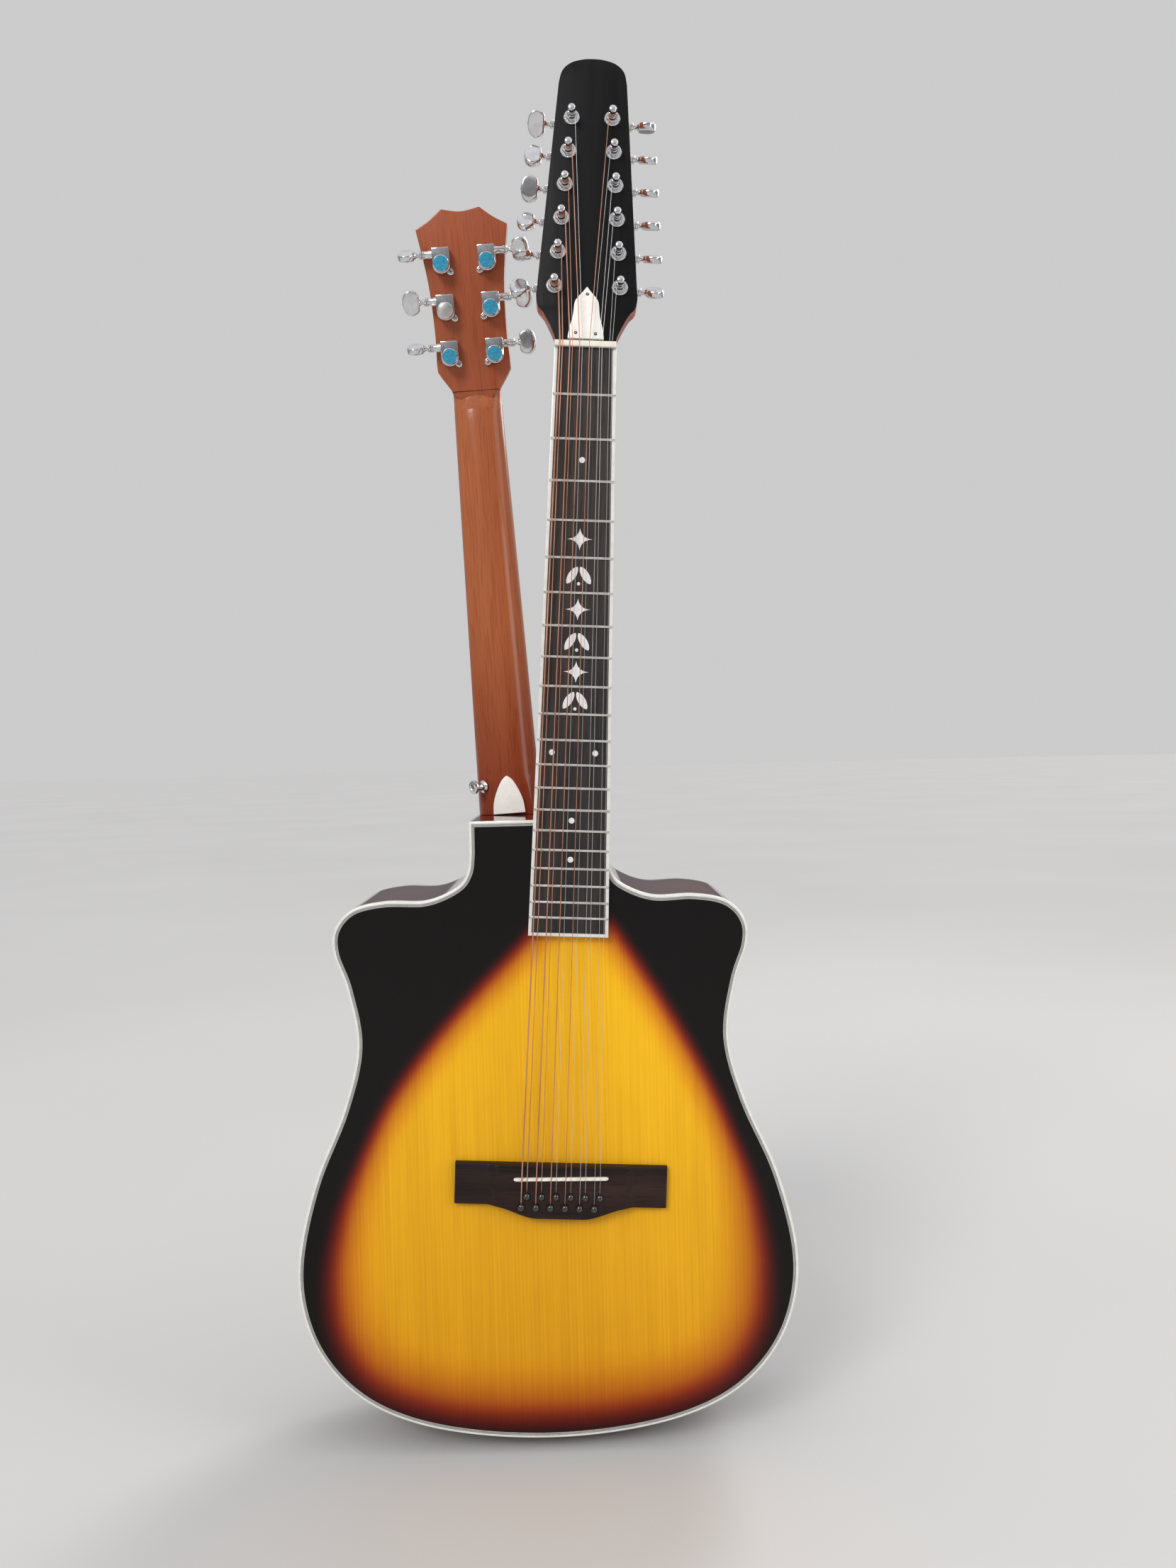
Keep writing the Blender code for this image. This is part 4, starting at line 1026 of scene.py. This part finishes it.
def make_strings(spec):
    """Each string from its pin over the saddle and the nut, wound down its post."""
    to_neck = neck_frame(spec).inverted() @ head_frame(spec)
    for index, (nut_x, pin, post) in enumerate(zip(spec["nut_x"], pin_places(spec), string_posts(spec))):
        _, side, _, across, along = post
        radius = spec["gauges"][index] / 2 * MM
        crest = saddle_z(spec, pin[0])
        path = [(pin[0] * MM, -BRIDGE_TOP + 1.2 * MM, (pin[1] + 2.3) * MM),
                (pin[0] * MM, -BRIDGE_TOP - 0.2 * MM, (pin[1] + 3.3) * MM),
                (pin[0] * MM, -SADDLE_TOP - radius + 0.10 * MM, (crest - 0.5) * MM),
                (pin[0] * MM, -SADDLE_TOP - radius, (crest + 0.2) * MM)]
        path = [Vector(p) for p in path]
        lift = Vector((nut_x * MM, -NUT_TOP + 0.35 * MM - radius, NUT_AT + 0.9 * MM))
        path += [path[-1].lerp(lift, t) for t in (0.25, 0.5, 0.75)] + [lift]
        path.append(Vector((nut_x * MM, -NUT_TOP + 0.7 * MM - radius, NUT_AT + 3.2 * MM)))
        wrap = POST_WAIST + radius
        turns = 2.6 if radius > 0.3 * MM else 3.6
        count = int(turns * 16)
        for k in range(count + 1):
            angle = math.tau * turns * k / count
            level = WINDING_TOP - min(2.2 * MM, turns * 2 * radius) * k / count
            path.append(to_neck @ Vector((across - side * wrap * math.cos(angle), -level,
                                          along + wrap * math.sin(angle))))
        work = bmesh.new()
        add_tube(work, path, radius, 10)
        wound = index in spec["wound"]
        piece(f"{spec['name']}_string_{index + 1}", work, neck_frame(spec), "bronze" if wound else "steel")

# --- tuners


def post_seat(spec, across, along):
    return head_frame(spec) @ Matrix.Translation((across, 0, along))


OUT = Matrix.Rotation(math.pi / 2, 4, "X")
INWARD = Matrix.Rotation(-math.pi / 2, 4, "X")


def housing_loop():
    """Square towards the tip of the head, round towards the nut, in metres."""
    half = [(0, -7.8), (3.0, -7.2), (5.5, -5.53), (7.2, -3.0), (7.6, 0), (7.6, 12.4), (6.8, 13.2)]
    right = smoothed(half[:5], 4) + half[5:]
    return [(x * MM, z * MM) for x, z in right] + [(-x * MM, z * MM) for x, z in reversed(right[1:])]


def make_housing(spec, place):
    """One sealed gear housing with its arm, cover, lug, screw, washer and nut."""
    side_name, side, number, across, along = place
    back = HEAD_THICK
    work = bmesh.new()
    add_plate(work, housing_loop(), back + 0.05 * MM, back + 9.6 * MM, 0.9 * MM)
    cap = Matrix.Translation((0, back, 0)) @ INWARD
    add_lathe(work, [(7.0, 9.0), (7.0, 10.9), (6.75, 11.5), (6.2, 11.85), (0, 11.85)], 40, cap)
    arm_axis = Matrix.Translation((0, GEAR_LEVEL, WORM_OFFSET)) @ Matrix.Rotation(side * math.pi / 2, 4, "Y")
    add_lathe(work, [(0, 5), (3.5, 5), (3.5, 9.5), (3.15, 10.2), (3.15, 14.2), (3.45, 14.5), (3.45, 15.3),
                     (3.1, 15.5), (2.3, 15.5), (2.3, 14.0)], 32, arm_axis)
    lug_x, lug_z = -side * 7.0, -5.5
    lug = []
    for k in range(25):
        angle = math.atan2(lug_z, lug_x) - math.pi / 2 + math.pi * k / 24
        lug.append(((lug_x + 2.6 * math.cos(angle)) * MM, (lug_z + 2.6 * math.sin(angle)) * MM))
    unit = Vector((lug_x, lug_z)).normalized()
    normal = Vector((-unit.y, unit.x))
    lug += [tuple((unit * 3 + normal * 3.2) * MM), tuple((unit * 3 - normal * 3.2) * MM)]
    add_plate(work, lug, back + 0.05 * MM, back + 2.0 * MM, 0.35 * MM)
    screw = Matrix.Translation((lug_x * MM, back + 2.0 * MM, lug_z * MM)) @ INWARD
    # The screw's cross is in the dark material: painted shade in its recess.
    add_screw(work, screw, 1.75, 0.7, 1, 2)
    film_on = spec is GUITAR and not (side > 0 and number == 2)
    top = [(0, 12.02), (6.15, 12.02), (6.25, 11.9), (6.25, 11.7)] if film_on else [
        (0, 12.0), (5.6, 12.0), (5.9, 11.86), (5.9, 11.7)]
    add_lathe(work, top, 40, cap, 3)

    washer = [(3.35, 0.9), (3.35, 1.55), (4.9, 1.6), (6.0, 1.45), (6.5, 0.9), (6.5, 0.05), (4.6, 0.05)]
    add_lathe(work, washer, 40, OUT)
    turns = [math.tau * (k + 0.25) / 6 for k in range(6)]
    add_rings(work, [[OUT @ Vector((r * MM * math.cos(a), r * MM * math.sin(a), h * MM)) for a in turns]
                     for r, h in ((5.0, 1.5), (5.0, 3.0), (4.55, 3.45))])
    add_lathe(work, [(3.5, 3.2), (3.5, 3.9), (4.15, 3.9), (4.3, 3.7), (4.3, 3.2)], 32, OUT)
    # A flat dark ring closes the gap between the post and the nut: painted shade in the gap.
    add_lathe(work, [(3.05, 3.92), (3.5, 3.92)], 32, OUT, 2)

    shine = "film" if film_on else "nickel" if spec is GUITAR else "chrome"
    node = f"guitar_tuner_housing_{side_name}_{number}" if spec is GUITAR else None
    if spec is BOUZOUKI and number == 1:
        node = f"bouzouki_tuner_strip_{side_name}"
    piece(f"{spec['name']}_housing_{side_name}_{number}", work, post_seat(spec, across, along),
          f"chrome nickel dark {shine}", replaces=[node] if node else [], sharp=32)


def make_post(spec, place):
    """The turned string post with its cross hole."""
    side_name, side, number, across, along = place
    name = f"{spec['name']}_post_{side_name}_{number}"
    angle = math.radians(spec["angles"][side_name][number - 1])
    work = bmesh.new()
    add_lathe(work, [(0, 13.5), (1.9, 13.5), (2.6, 13.2), (3.0, 12.6), (3.0, 8.9), (2.75, 8.5), (2.4, 8.1),
                     (2.4, 5.2), (2.7, 4.7), (3.0, 4.3), (3.0, -8)], 32, OUT)
    # The cross hole is a solid dark rod through the post: painted shade inside the hole.
    hole = Matrix.Translation((0, -10.6 * MM, 0)) @ Matrix.Rotation(math.radians(25), 4, "Y")
    add_lathe(work, [(0, 3.03), (0.85, 3.03), (0.85, -3.03), (0, -3.03)], 16, hole, 1)
    turned = post_seat(spec, across, along) @ Matrix.Rotation(-side * angle / GEAR_RATIO, 4, "Y")
    piece(name + "_turned", work, turned, "chrome dark", body=name + "_body", replaces=[name],
          sharp=40)


def button_loop():
    """Half-moon button, straight towards the shaft, in (reach, across) millimetres."""
    half = [(-6.4, 5.6), (-5.6, 7.4), (-2.5, 9.6), (2, 10.2), (5.4, 7.8), (7.1, 4), (7.5, 0)]
    upper = smoothed(half, 5)
    return [(x, z) for x, z in upper] + [(x, -z) for x, z in reversed(upper[:-1])]


def make_key(spec, place):
    """Worm shaft, collar and button, turning together."""
    side_name, side, number, across, along = place
    name = f"{spec['name']}_key_{side_name}_{number}"
    angle = math.radians(spec["angles"][side_name][number - 1])
    work = bmesh.new()
    along_x = Matrix.Rotation(side * math.pi / 2, 4, "Y")
    add_lathe(work, [(0, 12.5), (1.9, 12.5), (1.9, 15.8), (3.0, 15.8), (3.4, 16.1), (3.4, 17.5),
                     (3.0, 17.8), (2.0, 18.0), (1.9, 20.2), (2.3, 21.2), (3.0, 22.0), (3.1, 22.6),
                     (0, 22.8)], 28, along_x)
    loop = button_loop()
    rows = []
    for size, thick in ((0.0, -3.0), (0.60, -3.0), (0.84, -2.92), (0.93, -2.6), (0.985, -1.9), (1.0, -1.0),
                        (1.0, 1.0), (0.985, 1.9), (0.93, 2.6), (0.84, 2.92), (0.60, 3.0), (0.0, 3.0)):
        ring = loop if size else [(0, 0)]
        rows.append([work.verts.new((side * (BUTTON_AT + x * size) * MM, thick * MM, z * size * MM))
                     for x, z in ring])
    bridge_rings(work, rows)
    # The screw's cross is in the dark material: painted shade in its recess.
    add_screw(work, Matrix.Translation((side * 35.7 * MM, 0, 0)) @ along_x, 1.5, 0.5, 0, 1)
    place_at = post_seat(spec, across, along) @ Matrix.Translation((0, GEAR_LEVEL, WORM_OFFSET))
    piece(name + "_button", work, place_at @ Matrix.Rotation(angle, 4, "X"), "chrome dark",
          body=name + "_body", replaces=[name], sharp=40)


def make_strap_buttons():
    """Turned buttons with their screws, standing where the record's mounts say."""
    profile = [(0, 10.9), (2.6, 10.9), (2.6, 11.4), (3.2, 12.0), (5.0, 12.0), (5.7, 11.6), (6.0, 10.8),
               (6.0, 9.9), (5.5, 9.2), (4.2, 8.4), (3.3, 7.4), (3.0, 6.0), (3.2, 3.4), (4.0, 1.6),
               (5.5, 0.6), (5.5, 0)]
    mounts = {m["name"]: m for m in frame["record"]["mounts"]}
    for label, mount, node in (("tail", "tail_button_face", "end_strap_button"),
                               ("heel", "heel_button_face", "heel_strap_button")):
        aim = Vector(mounts[mount]["axis"]).normalized()
        seat = Matrix.Translation(Vector(mounts[mount]["pos_m"]) - aim * 12 * MM)
        seat = seat @ Vector((0, 0, 1)).rotation_difference(aim).to_matrix().to_4x4()
        work = bmesh.new()
        add_lathe(work, profile, 48)
        # The screw's cross is in the dark material: painted shade in its recess.
        add_screw(work, Matrix.Translation((0, 0, 10.9 * MM)), 2.5, 0.75, 1, 2)
        piece(f"{label}_strap_button", work, seat, "chrome nickel dark", replaces=[node])

# --- stage, light and camera

CAMERA_AT = (0.0252, -0.9900, 0.5569)
CAMERA_TURN = (("Z", -0.941), ("X", -1.362), ("Y", 1.406))
SENSOR = 36
FOCAL, IMAGE_HEIGHT = 1661.1, 2212
FLOOR_RADIUS = 60
SUNS = (
    ("sun_front", (0.55, 1.0, -0.75), 1.25, 22, (1, 0.975, 0.94)),
    ("sun_back", (-0.6, -1.0, -0.8), 0.85, 22, (1, 0.98, 0.95)),
    ("sun_side", (-1.0, 0.35, -0.6), 0.45, 30, (1, 1, 1)),
)
PANELS = (("panel_front", (-1.15, -1.7, 2.0), 0.8, 9), ("panel_right", (1.7, -1.2, 1.0), 0.6, 5),
          ("panel_back", (1.2, 1.8, 1.9), 0.8, 9))
PANEL_TARGET = Vector((0, 0, 0.55))


def add_light(name, kind, power, aim, **settings):
    """A light that shines along aim."""
    data = bpy.data.lights.new(name, kind)
    data.energy = power
    for key, value in settings.items():
        setattr(data, key, value)
    obj = bpy.data.objects.new(name, data)
    obj.rotation_euler = Vector(aim).to_track_quat("-Z", "Y").to_euler()
    bpy.context.scene.collection.objects.link(obj)
    return obj


def make_world():
    """A pale room: the eye sees it bright, while gloss and chrome mirror a dimmer one, lit from above."""
    world = bpy.data.worlds.new("studio")
    world.use_nodes = True
    nodes, links = world.node_tree.nodes, world.node_tree.links
    background = nodes["Background"]
    path = nodes.new("ShaderNodeLightPath")
    where = nodes.new("ShaderNodeTexCoord")
    split = nodes.new("ShaderNodeSeparateXYZ")
    room = nodes.new("ShaderNodeValToRGB")
    room.color_ramp.elements[0].position = 0.42
    room.color_ramp.elements[0].color = (0.050, 0.050, 0.053, 1)
    room.color_ramp.elements[1].position = 0.95
    room.color_ramp.elements[1].color = (0.85, 0.85, 0.88, 1)
    height = nodes.new("ShaderNodeMapRange")
    height.inputs["From Min"].default_value = -1
    links.new(where.outputs["Generated"], split.inputs[0])
    links.new(split.outputs["Z"], height.inputs["Value"])
    links.new(height.outputs["Result"], room.inputs["Fac"])
    seen = nodes.new("ShaderNodeMix")
    seen.data_type = "RGBA"
    seen.inputs[7].default_value = (0.60, 0.60, 0.60, 1)
    links.new(path.outputs["Is Camera Ray"], seen.inputs[0])
    links.new(room.outputs["Color"], seen.inputs[6])
    links.new(seen.outputs[2], background.inputs["Color"])
    background.inputs["Strength"].default_value = 1.0
    bpy.context.scene.world = world


def make_stage():
    mesh = bpy.data.meshes.new("floor")
    ring = [(x, y, 0) for x, y in circle(0, 0, FLOOR_RADIUS, 96)]
    mesh.from_pydata(ring, [], [list(range(96))])
    floor = bpy.data.objects.new("floor", mesh)
    floor.location.z = CAD_BOX[0].z - 0.0005
    look = Look("floor_paint", Roughness=0.8, Specular_IOR_Level=0.15)
    look.colour(look.ramp(look.noise(0.8, detail=2), (0.30, (0.525, 0.523, 0.515)),
                          (0.70, (0.555, 0.552, 0.545))))
    mesh.materials.append(look.material)
    bpy.context.scene.collection.objects.link(floor)
    make_world()
    bpy.context.scene.view_settings.view_transform = "Standard"
    for name, aim, power, spread, colour in SUNS:
        add_light(name, "SUN", power, aim, angle=math.radians(spread), color=colour)
    for name, at, size, power in PANELS:
        panel = add_light(name, "AREA", power, PANEL_TARGET - Vector(at), shape="SQUARE", size=size)
        panel.location = at


def make_camera():
    """The camera, from its focal length, its place and its turns, in degrees."""
    data = bpy.data.cameras.new("camera")
    data.sensor_width = SENSOR
    data.lens = SENSOR * FOCAL / IMAGE_HEIGHT
    data.clip_start = 0.01
    turn = Matrix.Identity(3)
    for axis, degrees in CAMERA_TURN:
        turn = turn @ Matrix.Rotation(math.radians(degrees), 3, axis)
    right, ahead, up = (turn @ Vector(v) for v in ((1, 0, 0), (0, 1, 0), (0, 0, 1)))
    matrix = Matrix((right, up, -ahead)).transposed().to_4x4()
    matrix.translation = CAMERA_AT
    camera = bpy.data.objects.new("camera", data)
    camera.matrix_world = matrix
    bpy.context.scene.collection.objects.link(camera)
    bpy.context.scene.camera = camera


for existing in [o for o in bpy.data.objects if o.type in ("CAMERA", "LIGHT") or o.name == "Cube"]:
    bpy.data.objects.remove(existing, do_unlink=True)
make_camera()
make_stage()
make_body()
make_rosette()
for instrument in (BOUZOUKI, GUITAR):
    make_neck(instrument)
    make_fingerboard(instrument)
    make_bridge(instrument)
    make_strings(instrument)
    for tuner in post_places(instrument):
        make_housing(instrument, tuner)
        make_post(instrument, tuner)
        make_key(instrument, tuner)
make_rod_cover()
make_strap_buttons()
